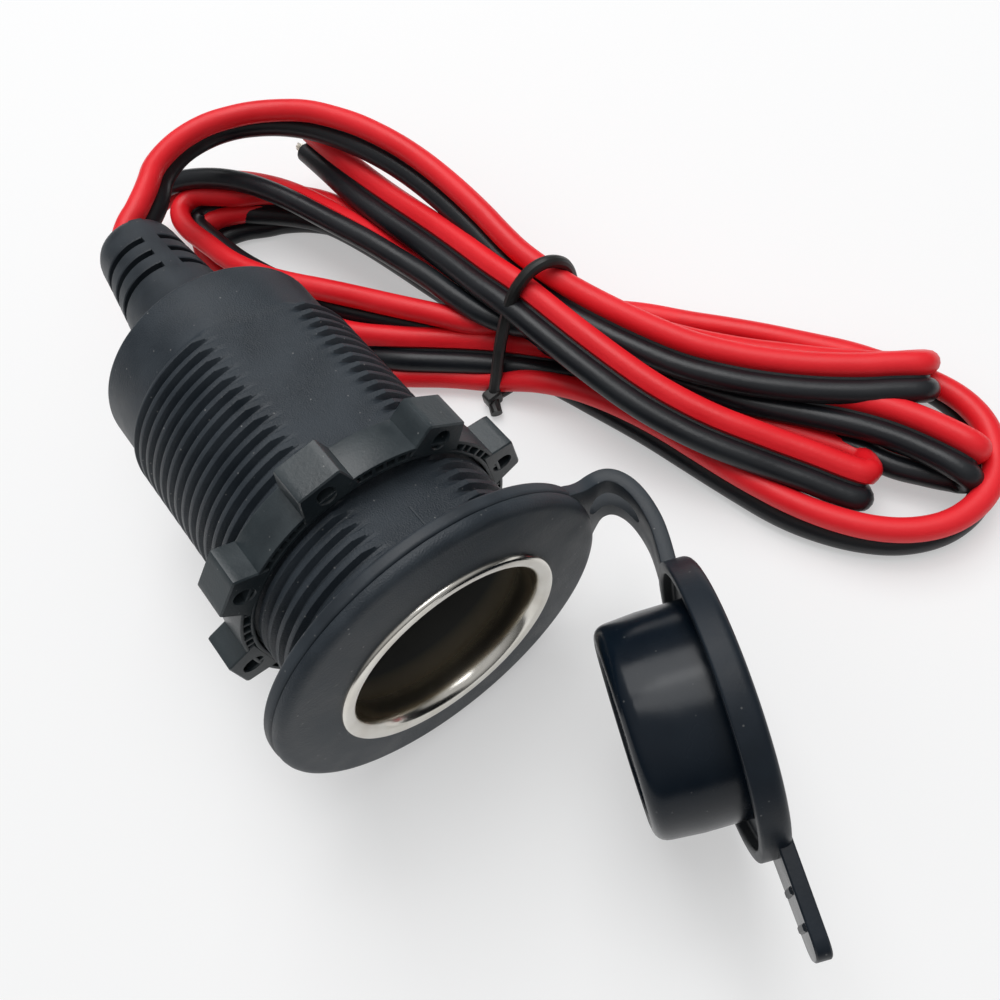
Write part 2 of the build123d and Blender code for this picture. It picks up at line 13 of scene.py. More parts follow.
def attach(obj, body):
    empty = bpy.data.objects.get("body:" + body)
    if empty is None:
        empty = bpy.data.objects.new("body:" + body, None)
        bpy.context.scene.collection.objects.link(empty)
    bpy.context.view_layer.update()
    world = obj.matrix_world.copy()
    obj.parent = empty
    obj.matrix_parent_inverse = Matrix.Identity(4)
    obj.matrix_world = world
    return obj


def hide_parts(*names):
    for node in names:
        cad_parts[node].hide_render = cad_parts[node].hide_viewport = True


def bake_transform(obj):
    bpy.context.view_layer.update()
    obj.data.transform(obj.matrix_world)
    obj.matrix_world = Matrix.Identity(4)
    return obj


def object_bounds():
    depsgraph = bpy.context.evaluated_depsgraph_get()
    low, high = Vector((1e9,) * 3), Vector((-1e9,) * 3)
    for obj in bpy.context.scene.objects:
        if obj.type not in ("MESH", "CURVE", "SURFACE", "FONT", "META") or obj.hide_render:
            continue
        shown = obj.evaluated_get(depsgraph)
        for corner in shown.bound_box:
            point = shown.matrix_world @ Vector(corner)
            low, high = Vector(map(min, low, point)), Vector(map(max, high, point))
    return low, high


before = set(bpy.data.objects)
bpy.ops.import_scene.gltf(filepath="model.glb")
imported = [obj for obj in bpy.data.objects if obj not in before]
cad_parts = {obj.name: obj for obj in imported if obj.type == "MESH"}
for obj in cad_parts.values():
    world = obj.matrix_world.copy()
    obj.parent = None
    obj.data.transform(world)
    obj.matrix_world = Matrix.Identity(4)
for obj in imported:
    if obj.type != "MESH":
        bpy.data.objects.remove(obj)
cad_low, cad_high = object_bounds()

MM = 0.001
FLOOR_LEVEL = cad_low.z

# Meshing: corners closer than the weld become one, and edges under the smooth angle are shaded round
WELD = 0.0004
HAIR = 0.001
SMOOTH_ANGLE = radians(26)
SMALL_ROUND = 0.3
SMALL_ROUND_STEPS = 2
ROUND_STEPS = 6
LINE_STEPS = 8
COPIES_SEED = 5

# Camera: place, axes and lens that give the photograph's view
CAMERA_PLACE = Vector((-3.79, -35.97, 93.46))
CAMERA_RIGHT = Vector((0.7756, -0.6122, -0.1536))
CAMERA_UP = Vector((0.6093, 0.6628, 0.4353))
CAMERA_LENS = 36.53
CAMERA_SENSOR = 36.0

# Housing and its liner
BORE_RADIUS = 10.7
BORE_END = 26.0
BELL_END = 1.9
BELL_STEPS = 12
LINER_RADIUS = 11.3
LINER_NECK = 9.9
LINER_NECK_START = 28.5
LINER_BOTTOM = 34.0
LINER_BACK = 34.6
LINER_HOLE = 4.0
LINER_COLUMNS = 128
LIP_RADIUS = 12.6
LIP_CROWN = -0.4
LIP_FLAT = 0.85
LIP_ROUND = 0.5
LIP_SEAT = 0.1
LIP_PLAY = 0.05
HOUSING_BORE = 11.35
CREST_RADIUS = 14.2
ROOT_RADIUS = 13.4
FLANGE_RADIUS = 18.9
FLANGE_EDGE = 0.4
FLANGE_ROUND = 1.2
FLANGE_BACK = 1.7
FINE_ROUND = 0.15
FIRST_GROOVE = 6.4
GROOVE_PITCH = 1.55
GROOVE_COUNT = 21
GROOVE_MOUTH = 0.96
GROOVE_MOUTH_ROUND = 0.1
GROOVE_FLOOR = 0.4
GROOVE_FLOOR_ROUND = 0.06
THREAD_END = 38.175
THREAD_FALL = 0.8
THREAD_FALL_ROUND = 0.2
BARREL_END = 46.2
BARREL_END_ROUND = 0.45
REAR_BORE = 12.0
REAR_SEAT = 41.0
CHAMBER_RADIUS = 9.0
FLAT_TURN = 22.1
FLAT_DISTANCE = 12.6
FLAT_START = 3.4
FLAT_RAMP_END = 43.275
MOULD_LINE_DEPTH = 0.07
MOULD_LINE_END = 9.0
MOULD_LINE_HALF = 0.1

# Columns of the housing's mesh: turns from the middle of a flat, and steps over each round side
FLAT_COLUMNS = (0.6, 4, 8, 12, 16)
FLAT_EDGE_COLUMNS = (22.4, 24.9)
SIDE_COLUMNS = 60

# Lock nut
NUT_FRONT = 12.4
NUT_BACK = 16.8
NUT_BORE = 14.4
NUT_BORE_ROUND = 0.2
NUT_RING = 16.0
NUT_RING_ROUND = 0.25
NUT_COLUMNS = 144
NUT_RIDGE = 13.6
NUT_RIDGES = (14.15, 15.7)
NUT_RIDGE_FOOT = 0.33
NUT_RIDGE_TOP = 0.1
NUT_RIDGE_ROUND = 0.05
WING_TIP = 18.2
WING_FOOT = 14.6
WING_FOOT_WIDTH = 6.2
WING_TIP_WIDTH = 4.6
WING_ROUND = 0.25
WING_PROUD = 0.03
WING_SIDE = 0.6
WING_COUNT = 8
WING_TURN = -2.4
POCKET_PLACE = 16.3
POCKET_LENGTH = 2.2
POCKET_WIDTH = 1.8
POCKET_DEPTH = 3.2
POCKET_FLARE = 0.12
POCKET_DRAFT = 0.1
CHANNEL_INNER = 14.85
CHANNEL_OUTER = 15.6
CHANNEL_FLOOR = 15.2
CHANNEL_ROUND = 0.08
RIB_COUNT = 76
RIB_TURN = 1.3
RIB_HALF = 0.2
RIB_BITE = 0.15
RIB_DROP = 0.2
RIB_SINK = 0.1
RIB_EDGE = 0.06
RIB_STRETCH = 0.1

# Cap, drawn closed on the mouth and swung open on its hinge
HINGE = Vector((22.7, 1.05, 0.0))
OPEN_ANGLE = radians(66.1)
CAP_RADIUS = 13.9
CAP_FRONT = -2.8
CAP_ROUND = 0.9
CAP_EDGE = 0.3
CAP_WEB_BACK = -1.2
CAP_COLUMNS = 120
SKIRT_BORE = 12.8
PLUG_RADIUS = 10.2
PLUG_TIP_RADIUS = 9.9
PLUG_REACH = 8.0
PLUG_STRAIGHT = 3.6
PLUG_WALL = 1.8
PLUG_ROOT_ROUND = 0.5
PLUG_TIP_ROUND = 1.5
PLUG_MOUTH_ROUND = 0.5
PLUG_FLOOR_ROUND = 0.6
GLOSS_MARGIN = 0.1
TAB_ROOT = 12.6
TAB_ROOT_HALF = 3.3
TAB_TIP = 22.3
TAB_TIP_HALF = 2.4
TAB_ROUND = 1.7
TAB_THICKNESS = 1.4
TAB_RIDGES = (-16.7, -19.6)
TAB_RIDGE_HALF = (0.35, 1.9)
TAB_RIDGE_SINK = 0.3
TAB_RIDGE_RISE = 0.2

# Ring behind the flange, and the strap from it to the cap's rim; the slot's places are shares of the strap
RING_RADIUS = 19.0
RING_BORE = 14.25
RING_BACK = 3.1
RING_ROUND = 0.45
RING_COLUMNS = 144
STRAP_WIDTH = 8.0
STRAP_ROOT_WIDTH = 18.0
STRAP_FLARE = 0.4
STRAP_THICKNESS = 1.5
STRAP_EDGE = 0.2
STRAP_EDGE_ANGLE = radians(60)
STRAP_ROUTE = [
    (15.5, 2.4, 0), (17.6, 2.42, 0), (19.4, 2.8, 0), (21.1, 3.15, 0), (22.7, 2.5, 0), (23.5, 0.5, 0),
    (23.3, -2.3, 0), (22.3, -5.6, 0), (20.5, -8.7, 0),
]
STRAP_SLOT_START = 0.21
STRAP_SLOT_END = 0.78
STRAP_SLOT_ROUND = 0.1
STRAP_SLOT_WIDTH = 2.8
STRAP_PLAIN_HALF = 1.2

# Boot, with its own axis that leans a little towards the cap side; its outlines are (radius, along)
BOOT_FOOT = Vector((0.0, 45.8, 0.0))
BOOT_LEAN = radians(2.3)
BOOT_LENGTH = 24.0
BOOT_DISC = 11.95
BOOT_DISC_ROUND = 0.3
BOOT_DISC_COLUMNS = 72
BOOT_FOOT_OUTLINE = [(0, -0.6), (8.4, -0.6), (8.4, 0.0), (7.5, 0.35), (7.15, 1.2)]
BOOT_END_START = 20.3
BOOT_END_RADIUS = 4.95
BOOT_END_ROUND = 2.6
BOOT_PROFILE = [(7.2, 0.0), (6.3, 10.6), (5.75, 15.4), (5.25, BOOT_END_START), (4.9, 22.8)]
BOOT_SKIN = 0.5
BOOT_SLOTS = (12.4, 15.3, 18.2)
BOOT_SLOT_WIDTH = 1.0
BOOT_SLOT_LIP = 0.15
BOOT_SLOT_FALL = 0.1
BOOT_SLOT_WALL = 0.06
BOOT_SLOT_FLOOR = 4.0
BOOT_SPINE_TURNS = (25.0, 205.0)
BOOT_SPINE_HALF = 10.3
BOOT_SPINE_COLUMNS = (-10.9, -9.7, -5, 0, 5, 9.7, 10.9)
BOOT_SIDE_COLUMNS = 26

# Twin lead: two round wires side by side, joined by a thin web; a low ridge runs along the red one
WIRE_RADIUS = 1.45
WIRE_SPACING = 3.1
WIRE_SIDES = 14
WIRE_RIDGE = 0.14
WEB_TURN = radians(166)
LEAD_EXIT = (0.99, 70.38, 0.0)

# Each leg of the lead: the side that the red wire lies on, then the middle of the pair
LEAD_LEGS = [
    ((-0.5, -0.35, 0.78), [LEAD_EXIT, (2.3, 71.9, 0.2)]),
    ((-0.3, -0.25, 0.92), [(4.9, 73.3, 0.4)]),
    ((-0.14, -0.18, 0.97), [(7.5, 75.6, 0.3)]),
    ((0.0, -0.22, 0.97), [(9.3, 78.2, 0.0)]),
    ((0.15, -0.28, 0.95), [(12.1, 80.2, -0.4)]),
    ((0.27, -0.33, 0.9), [(15.2, 81.5, -0.9)]),
    ((0.3, -0.38, 0.87), [(18.9, 81.7, -1.4)]),
    ((0.34, -0.47, 0.81), [(22.2, 80.9, -1.9), (25.1, 79.4, -2.3)]),
    ((0.38, -0.52, 0.76), [(27.7, 77.3, -2.6)]),
    ((0.42, -0.48, 0.76), [(30.3, 74.3, -2.8), (32.2, 70.9, -3.1)]),
    ((0.46, -0.33, 0.82), [(33.9, 67.0, -3.4), (35.5, 62.0, -4.0)]),
    ((0.46, -0.23, 0.86), [
        (36.4, 56.7, -4.4), (36.8, 51.0, -4.8), (36.9, 45.0, -5.3), (36.8, 40.8, -6.0), (37.0, 37.0, -6.8),
    ]),
    # Through the tie to the far fold, and back below it
    ((0.69, 0.0, 0.72), [(37.7, 31.2, -7.5)]),
    ((0.8, 0.26, 0.52), [(38.7, 27.2, -8.0), (40.2, 22.3, -8.4)]),
    ((0.75, 0.42, 0.52), [(41.8, 17.8, -8.8), (43.6, 13.6, -9.2)]),
    ((0.66, 0.62, 0.42), [(45.8, 10.0, -9.5), (48.2, 6.6, -9.8), (52.0, 2.0, -10.0), (56.2, -2.2, -10.1)]),
    ((0.6, 0.66, 0.44), [
        (58.8, -4.3, -10.1), (61.8, -7.0, -10.3), (63.9, -4.6, -14.7), (60.5, -1.6, -15.0),
    ]),
    ((0.3, 0.2, 0.9), [
        (57.0, 2.6, -14.6), (53.6, 6.6, -14.2), (49.6, 11.4, -13.8), (45.4, 17.4, -13.2),
        (42.0, 23.6, -12.4),
    ]),
    ((0.65, 0.35, 0.4), [(39.4, 29.0, -11.6), (36.0, 31.6, -11.2)]),
    ((0.62, 0.5, -0.4), [(32.4, 34.0, -10.8)]),
    ((0.58, 0.48, -0.66), [
        (30.7, 37.2, -10.5), (29.9, 41.0, -10.4), (29.2, 46.1, -10.3), (28.1, 51.5, -10.2),
        (26.9, 57.0, -10.0),
    ]),
    ((0.62, 0.52, -0.59), [(24.8, 65.1, -9.9), (23.4, 70.4, -9.8)]),
    ((0.53, 0.54, -0.65), [(21.6, 75.4, -9.8)]),
    ((0.4, 0.55, -0.74), [(19.2, 79.9, -9.9)]),
    ((0.26, 0.53, -0.8), [(16.3, 83.8, -10.2)]),
    ((0.17, 0.37, -0.91), [(12.9, 87.0, -11.0), (9.2, 88.9, -11.8)]),
    ((0.25, 0.18, -0.95), [(5.2, 88.9, -12.8), (2.0, 86.6, -14.0)]),
    ((-0.4, 0.0, -0.9), [(0.8, 81.0, -15.2)]),
    # Under the barrel to the wide loop on the floor
    ((-0.85, -0.1, -0.5), [(2.0, 74.0, -16.4)]),
    ((-0.9, -0.35, 0.0), [(4.4, 66.0, -17.3), (8.0, 58.0, -17.5)]),
    ((-0.7, -0.7, 0.1), [
        (12.2, 50.6, -17.4), (16.0, 45.8, -17.4), (20.2, 41.5, -17.4), (24.1, 37.7, -17.4),
        (27.6, 33.5, -17.4),
    ]),
    ((-0.45, -0.5, 0.7), [(31.0, 27.9, -16.4)]),
    ((0.0, -0.2, 0.98), [(34.0, 20.6, -16.0)]),
    ((0.2, -0.18, 0.96), [(36.4, 12.6, -16.0), (37.9, 4.8, -16.0), (39.0, -0.6, -16.0)]),
    ((0.29, -0.2, 0.93), [(40.4, -6.2, -16.0), (42.4, -10.9, -16.0)]),
    ((0.22, -0.1, 0.96), [(44.9, -14.9, -16.0), (47.9, -17.9, -16.0)]),
    ((0.08, -0.05, 0.99), [(51.7, -19.9, -16.0), (55.8, -20.2, -16.0)]),
    ((-0.2, -0.15, 0.96), [(59.6, -19.0, -16.0), (62.1, -17.0, -16.0)]),
    ((-0.2, -0.38, 0.9), [
        (64.0, -13.9, -16.0), (64.8, -10.8, -16.0), (64.7, -7.6, -16.0), (63.6, -3.6, -16.0),
    ]),
    ((0.0, -0.2, 0.97), [(61.6, 0.3, -16.0)]),
    ((0.2, 0.1, 0.97), [
        (59.4, 3.8, -16.0), (57.1, 7.6, -16.0), (54.6, 11.8, -16.0), (51.9, 15.9, -16.0),
        (49.1, 19.9, -16.0), (45.9, 25.1, -16.0),
    ]),
    # Across the bundle and beside the barrel to the small left fold
    ((0.15, 0.15, 0.97), [
        (42.0, 29.4, -15.9), (37.0, 32.4, -15.0), (32.4, 34.4, -14.0), (28.6, 37.0, -13.2),
    ]),
    ((0.02, 0.28, 0.96), [(26.2, 41.1, -12.9), (23.2, 45.7, -12.7)]),
    ((-0.05, 0.5, 0.86), [(20.0, 50.8, -12.6), (16.8, 56.0, -12.5)]),
    ((-0.3, -0.4, 0.85), [(13.8, 62.8, -12.5)]),
    ((-0.38, -0.58, 0.72), [(11.4, 69.7, -12.6), (10.6, 75.6, -12.8)]),
    ((-0.6, -0.2, 0.77), [(9.9, 80.8, -13.0)]),
    ((-0.46, 0.49, 0.74), [(10.7, 83.4, -13.0)]),
    ((-0.3, 0.55, 0.78), [(12.8, 83.9, -13.0)]),
    ((-0.15, 0.27, 0.95), [(15.1, 82.0, -13.0), (17.6, 79.1, -13.1)]),
    ((0.3, 0.3, 0.9), [(20.6, 76.8, -13.6)]),
    ((0.5, 0.4, 0.77), [
        (23.4, 74.0, -14.0), (26.2, 69.5, -14.0), (28.0, 63.0, -14.0), (29.4, 55.7, -14.0),
        (30.6, 48.0, -13.9), (31.8, 40.0, -13.2), (33.8, 33.0, -12.4), (36.3, 26.5, -12.1),
        (39.3, 20.5, -12.0),
    ]),
    # To the fold that lies on the wide loop, and back on the floor
    ((0.52, 0.16, 0.83), [(42.6, 14.6, -12.0), (45.0, 9.6, -12.0)]),
    ((0.65, 0.43, 0.63), [(47.6, 5.2, -12.2), (50.8, 0.5, -12.3)]),
    ((0.77, 0.48, 0.42), [(53.4, -3.6, -12.3), (55.5, -7.7, -12.3)]),
    ((0.8, 0.33, 0.5), [(56.9, -11.8, -12.2), (58.0, -17.2, -11.9)]),
    ((0.6, 0.65, 0.05), [(59.0, -16.4, -16.2)]),
    ((0.38, 0.74, -0.5), [(55.9, -13.0, -16.5), (53.8, -9.8, -16.5), (52.6, -5.4, -16.5)]),
    ((0.5, 0.6, 0.2), [(51.4, -0.4, -16.5)]),
    ((0.35, 0.35, 0.87), [(49.2, 5.0, -16.1), (46.0, 11.0, -16.1), (42.5, 17.0, -16.1)]),
    ((0.54, 0.4, 0.74), [(38.4, 22.8, -15.8), (34.6, 26.8, -15.0)]),
    ((0.57, 0.65, 0.5), [(31.0, 31.2, -14.8), (27.7, 35.3, -14.8)]),
    ((0.4, 0.8, 0.45), [(23.2, 39.9, -14.7), (19.6, 43.6, -14.6)]),
    # Lowest left fold
    ((0.1, 0.6, 0.8), [(16.2, 48.6, -15.2), (13.4, 56.0, -15.8)]),
    ((-0.9, 0.1, 0.3), [(11.6, 64.0, -17.0), (10.6, 72.0, -17.0), (10.2, 77.5, -16.9)]),
    ((-0.4, 0.42, 0.82), [
        (11.4, 80.9, -16.1), (13.6, 80.9, -16.1), (16.0, 79.8, -16.1), (18.6, 77.9, -16.1),
    ]),
    ((0.3, 0.3, 0.9), [(21.8, 76.4, -16.1)]),
    ((0.5, 0.4, 0.77), [
        (25.4, 73.2, -16.2), (28.6, 68.0, -16.2), (31.0, 61.0, -16.2), (32.8, 53.0, -16.2),
        (34.2, 45.0, -16.2), (35.6, 37.0, -16.2), (37.2, 29.0, -16.2), (38.0, 23.0, -16.2),
    ]),
    # Near fold on top, then to the free end
    ((0.7, 0.45, 0.5), [(39.6, 17.6, -16.3), (41.6, 11.6, -16.3), (43.8, 6.0, -16.3), (45.9, 1.3, -16.3)]),
    ((0.76, 0.5, 0.4), [(48.0, -2.9, -16.4), (49.6, -6.2, -16.4), (50.0, -8.4, -16.2)]),
    ((0.8, 0.42, 0.36), [(48.0, -11.2, -13.7)]),
    ((0.78, 0.49, 0.38), [
        (46.4, -8.6, -13.2), (44.9, -5.5, -12.6), (43.0, -2.0, -12.0), (41.2, 1.2, -11.2),
    ]),
    ((0.82, 0.44, 0.36), [(39.3, 4.8, -10.5), (37.7, 8.8, -9.8)]),
    ((0.87, 0.36, 0.33), [(36.3, 13.2, -9.0), (35.3, 18.4, -8.2)]),
    ((0.91, 0.28, 0.31), [(34.5, 23.8, -7.5), (34.0, 28.0, -7.0), (33.6, 32.2, -6.6), (33.2, 35.6, -6.6)]),
    ((0.92, 0.25, 0.29), [(32.8, 39.2, -6.9), (32.5, 45.2, -7.4), (32.0, 51.4, -8.0), (31.3, 57.8, -8.6)]),
    ((0.9, 0.1, 0.4), [(30.8, 64.4, -9.2)]),
    ((0.6, -0.2, 0.77), [(30.5, 72.0, -9.4), (30.3, 78.2, -9.6)]),
]

# Tie: from its tail up the near side, over the bundle, and back underneath
TIE_RADIUS = 0.8
TIE_SIDES = 12
TIE_NEAR_SIDE = Vector((0.1, -1, 0))
TIE_ROUTE = [
    (24.3, 28.3, -18.1), (24.9, 29.6, -17.9), (25.6, 30.4, -17.2), (26.4, 30.7, -16.0), (27.4, 31.1, -14.0),
    (29.0, 31.8, -11.0), (30.8, 32.3, -8.0), (32.6, 32.7, -5.4), (34.4, 32.7, -3.9), (36.4, 32.6, -3.1),
    (38.4, 32.0, -3.0), (40.6, 31.7, -5.2), (40.9, 31.4, -9.5), (40.6, 31.0, -14.0), (39.8, 30.8, -17.4),
    (36.5, 30.6, -18.2), (31.0, 30.4, -18.2), (26.6, 30.3, -18.1), (24.6, 30.6, -17.2),
]
TIE_HEAD = Vector((25.3, 30.3, -17.5))
TIE_HEAD_HALF = 1.1
TIE_HEAD_ROUND = 0.4
TIE_HEAD_DEPTH = 0.9
TIE_HEAD_EDGE = 0.25

# Bare copper at the free end: strands round a core that stands out a little further
STRAND_COUNT = 6
STRAND_RADIUS = 0.2
STRAND_SIDES = 8
STRAND_RING = 0.4
STRAND_ROOT = 0.6
STRAND_LENGTH = 1.8
STRAND_EDGE = 0.06
STRAND_STRETCH = 0.12
CORE_PLAY = 0.02
CORE_EXTRA = 0.1

# Light and floor, in metres: soft lamps (direction, size, power) behind and above, in a dim room
LAMP_TARGET = (0.02, 0.03, -0.01)
LAMP_DISTANCE = 0.65
BACK_LAMP = ((0.25, 0.46, 0.85), 0.4, 1.7)
TOP_LAMP = ((0.13, 0.06, 0.99), 0.34, 1.25)
ROOM_TOP = 0.53
ROOM_SIDES = 0.06
ROOM_RISE = (0.1, 0.8)
FLOOR_HALF = 2.0
FLOOR_COLOUR = (0.94, 0.945, 0.95)
FLOOR_ROUGH = 0.9
FLOOR_GLOW = 0.4

# Finishes: sheen, dust, places along the bore where the plate warms and where painted shade darkens it, and
# (size, depth) of fine relief
BLACK_SHEEN = 0.36
NUT_SHEEN = 0.5
CAP_SHEEN = 0.24
METAL_SHEEN = 0.5
NOISE_DETAIL = 3.0
DUST_SPACING = 1.3
DUST_EDGE = (0.03, 0.09)
DUST_COLOUR = (0.35, 0.35, 0.34)
PLATE_WARMS = (0.6, 3.2)
# Painted shade: from the first place to the second along the bore, the plate is painted dark and dull
PLATE_PAINTED_SHADE = (2.4, 6.0)
PLATE_STAIN = 3.0
PLATE_SPECKLE = (0.12, 0.002)
WIRE_WAVE = (9.0, 0.15)
WIRE_PEEL = (0.5, 0.02)


def barrel_point(radius, along, turn):
    """A place from its radius, its place along the barrel and its turn round it."""
    angle = radians(turn)
    return Vector((radius * sin(angle), along, radius * cos(angle)))


def soft_corners(corners):
    """An outline with rounded corners: each corner is (across, along, reach of its round)."""
    outline = []
    count = len(corners)
    for i, (across, along, reach) in enumerate(corners):
        corner = Vector((across, along))
        if reach == 0:
            outline.append(corner)
            continue
        before = (Vector(corners[i - 1][:2]) - corner).normalized() * reach
        after = (Vector(corners[(i + 1) % count][:2]) - corner).normalized() * reach
        steps = SMALL_ROUND_STEPS if reach < SMALL_ROUND else ROUND_STEPS
        for step in range(steps + 1):
            t = step / steps
            outline.append(corner + before * (1 - t) ** 2 + after * t ** 2)
    return outline


def both_ways(middle, half):
    """Corners of a groove or ridge from one half's: (radius, distance from middle, reach of its round)."""
    before = [(radius, middle - distance, reach) for radius, distance, reach in half]
    return before + [(radius, middle + distance, reach) for radius, distance, reach in reversed(half)]


def divided(outline, longest):
    """An outline with extra points on its long sides."""
    points = []
    for here, ahead in zip(outline, outline[1:] + outline[:1]):
        steps = max(1, ceil((ahead - here).length / longest))
        points += [here.lerp(ahead, step / steps) for step in range(steps)]
    return points


def even_turns(count):
    """Turns of evenly spread columns."""
    return [360 * i / count for i in range(count)]


def stitch(shape, loops, closed=False):
    """Faces between loops that have the same number of corners; a loop's repeated corner is a pole."""
    pairs = list(zip(loops, loops[1:]))
    if closed:
        pairs.append((loops[-1], loops[0]))
    for first, second in pairs:
        for i in range(len(first)):
            j = (i + 1) % len(first)
            corners = list(dict.fromkeys((first[i], first[j], second[j], second[i])))
            if len(corners) > 2:
                shape.faces.new(corners)


def spin(shape, outline, turns, closed, reach=None):
    """Adds an outline of (radius, along) points spun round the barrel's axis; reach may change a radius."""
    loops = []
    for radius, along in outline:
        if radius == 0:
            loops.append([shape.verts.new((0, along, 0))] * len(turns))
            continue
        radii = [reach(radius, along, turn) if reach else radius for turn in turns]
        loops.append([shape.verts.new(barrel_point(r, along, turn)) for r, turn in zip(radii, turns)])
    stitch(shape, loops, closed)


def oblong(left, right, low, high):
    """Corners of an oblong outline."""
    return [(left, low), (left, high), (right, high), (right, low)]


def loop_at(shape, outline, along):
    """A loop of corners from an (across, out) outline at a place along the barrel."""
    return [shape.verts.new((across, along, out)) for across, out in outline]


def drawn_in(outline, edge):
    """An outline made smaller by about an edge's width all round."""
    low = Vector((min(p[0] for p in outline), min(p[1] for p in outline)))
    high = Vector((max(p[0] for p in outline), max(p[1] for p in outline)))
    middle = (low + high) / 2
    half = (high - low) / 2
    keep = (1 - edge / half.x, 1 - edge / half.y)
    return [(middle.x + (x - middle.x) * keep[0], middle.y + (y - middle.y) * keep[1]) for x, y in outline]


def slab(shape, outline, low, high, edge):
    """Adds a block with soft edges, open at its low end, and returns its open loop."""
    small = drawn_in(outline, edge)
    loops = [
        loop_at(shape, small, low), loop_at(shape, outline, low + edge),
        loop_at(shape, outline, high - edge), loop_at(shape, small, high),
    ]
    stitch(shape, loops)
    shape.faces.new(loops[-1])
    return loops[0]


def placed(name, data):
    """A new object in the scene, made from its data."""
    item = bpy.data.objects.new(name, data)
    bpy.context.scene.collection.objects.link(item)
    return item


def spline_points(name, route):
    """Points along the smooth line that has a route as its control points."""
    curve = bpy.data.curves.new(name, "CURVE")
    curve.dimensions = "3D"
    spline = curve.splines.new("NURBS")
    spline.points.add(len(route) - 1)
    for point, place in zip(spline.points, route):
        point.co = (*place, 1.0)
    spline.order_u = 3
    spline.use_endpoint_u = True
    spline.resolution_u = LINE_STEPS
    holder = placed(name, curve)
    line = bpy.data.meshes.new_from_object(holder)
    points = [vertex.co.copy() for vertex in line.vertices]
    bpy.data.objects.remove(holder)
    bpy.data.curves.remove(curve)
    bpy.data.meshes.remove(line)
    return points


def directions_along(points):
    """The unit direction of a line at each of its points."""
    ahead = points[1:] + points[-1:]
    behind = points[:1] + points[:-1]
    return [(b - a).normalized() for a, b in zip(behind, ahead)]


def carried_loops(shape, points, sides, section):
    """Adds a section's corners at each point of a line, with its first direction on the given side."""
    loops = []
    for point, along, side in zip(points, directions_along(points), sides):
        across = (side - along * side.dot(along)).normalized()
        out = across.cross(along)
        loops.append([shape.verts.new(point + across * a + out * o) for a, o in section])
    return loops


def add_shape(shape, other):
    """Adds another shape's faces to a shape, and frees the other."""
    mesh = bpy.data.meshes.new("added_shape")
    other.to_mesh(mesh)
    other.free()
    shape.from_mesh(mesh)
    bpy.data.meshes.remove(mesh)


def shown(name, shape, finishes):
    """A shape in millimetres made into a shown object at the origin, smooth up to an angle."""
    bmesh.ops.remove_doubles(shape, verts=shape.verts, dist=WELD)
    bmesh.ops.recalc_face_normals(shape, faces=shape.faces)
    bmesh.ops.scale(shape, vec=(MM, MM, MM), verts=shape.verts)
    mesh = bpy.data.meshes.new(name)
    shape.to_mesh(mesh)
    shape.free()
    for finish in finishes:
        mesh.materials.append(finish)
    for polygon in mesh.polygons:
        polygon.use_smooth = True
    mesh.set_sharp_from_angle(angle=SMOOTH_ANGLE)
    return placed(name, mesh)


def settle(piece, body, slot, *nodes):
    """Puts a piece on its body, in place of the plain nodes that it stands for."""
    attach(piece, body)
    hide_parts(*nodes)


def feed(tree, node, inputs):
    """Links each given input of a node to another node's socket, or sets it to a plain value."""
    for key, value in inputs.items():
        if isinstance(value, bpy.types.NodeSocket):
            tree.links.new(value, node.inputs[key])
        else:
            node.inputs[key].default_value = value


def add_node(tree, kind, inputs, **settings):
    """Adds a node with its settings and inputs."""
    node = tree.nodes.new(kind)
    for name, value in settings.items():
        setattr(node, name, value)
    feed(tree, node, inputs)
    return node


def round_copies_tree():
    """Geometry nodes that turn copies of a piece round the barrel's axis."""
    tree = bpy.data.node_groups.new("copies_round_barrel", "GeometryNodeTree")
    for name, kind in (
        ("Piece", "NodeSocketObject"), ("Count", "NodeSocketInt"), ("First turn", "NodeSocketFloat"),
        ("Place along", "NodeSocketFloat"), ("Stretch", "NodeSocketFloat"), ("Finish", "NodeSocketMaterial"),
    ):
        tree.interface.new_socket(name, in_out="INPUT", socket_type=kind)
    tree.interface.new_socket("Geometry", in_out="OUTPUT", socket_type="NodeSocketGeometry")
    given = tree.nodes.new("NodeGroupInput").outputs
    place = add_node(tree, "ShaderNodeCombineXYZ", {"Y": given["Place along"]})
    points = add_node(tree, "GeometryNodePoints", {"Count": given["Count"], "Position": place.outputs[0]})
    index = tree.nodes.new("GeometryNodeInputIndex")
    share = add_node(tree, "ShaderNodeMath", {0: index.outputs[0], 1: given["Count"]}, operation="DIVIDE")
    inputs = {0: share.outputs[0], 1: 2 * pi, 2: given["First turn"]}
    turn = add_node(tree, "ShaderNodeMath", inputs, operation="MULTIPLY_ADD")
    rotation = add_node(tree, "ShaderNodeCombineXYZ", {"Y": turn.outputs[0]})
    most = add_node(tree, "ShaderNodeMath", {0: given["Stretch"], 1: 1.0}, operation="ADD")
    length = add_node(tree, "FunctionNodeRandomValue", {"Seed": COPIES_SEED, 2: 1.0, 3: most.outputs[0]})
    scale = add_node(tree, "ShaderNodeCombineXYZ", {"X": 1.0, "Y": length.outputs[1], "Z": 1.0})
    piece = add_node(tree, "GeometryNodeObjectInfo", {"Object": given["Piece"]})
    copies = add_node(tree, "GeometryNodeInstanceOnPoints", {
        "Points": points.outputs[0], "Instance": piece.outputs["Geometry"], "Rotation": rotation.outputs[0],
        "Scale": scale.outputs[0],
    })
    real = add_node(tree, "GeometryNodeRealizeInstances", {0: copies.outputs[0]})
    finish = add_node(tree, "GeometryNodeSetMaterial", {0: real.outputs[0], "Material": given["Finish"]})
    add_node(tree, "NodeGroupOutput", {0: finish.outputs[0]})
    return tree


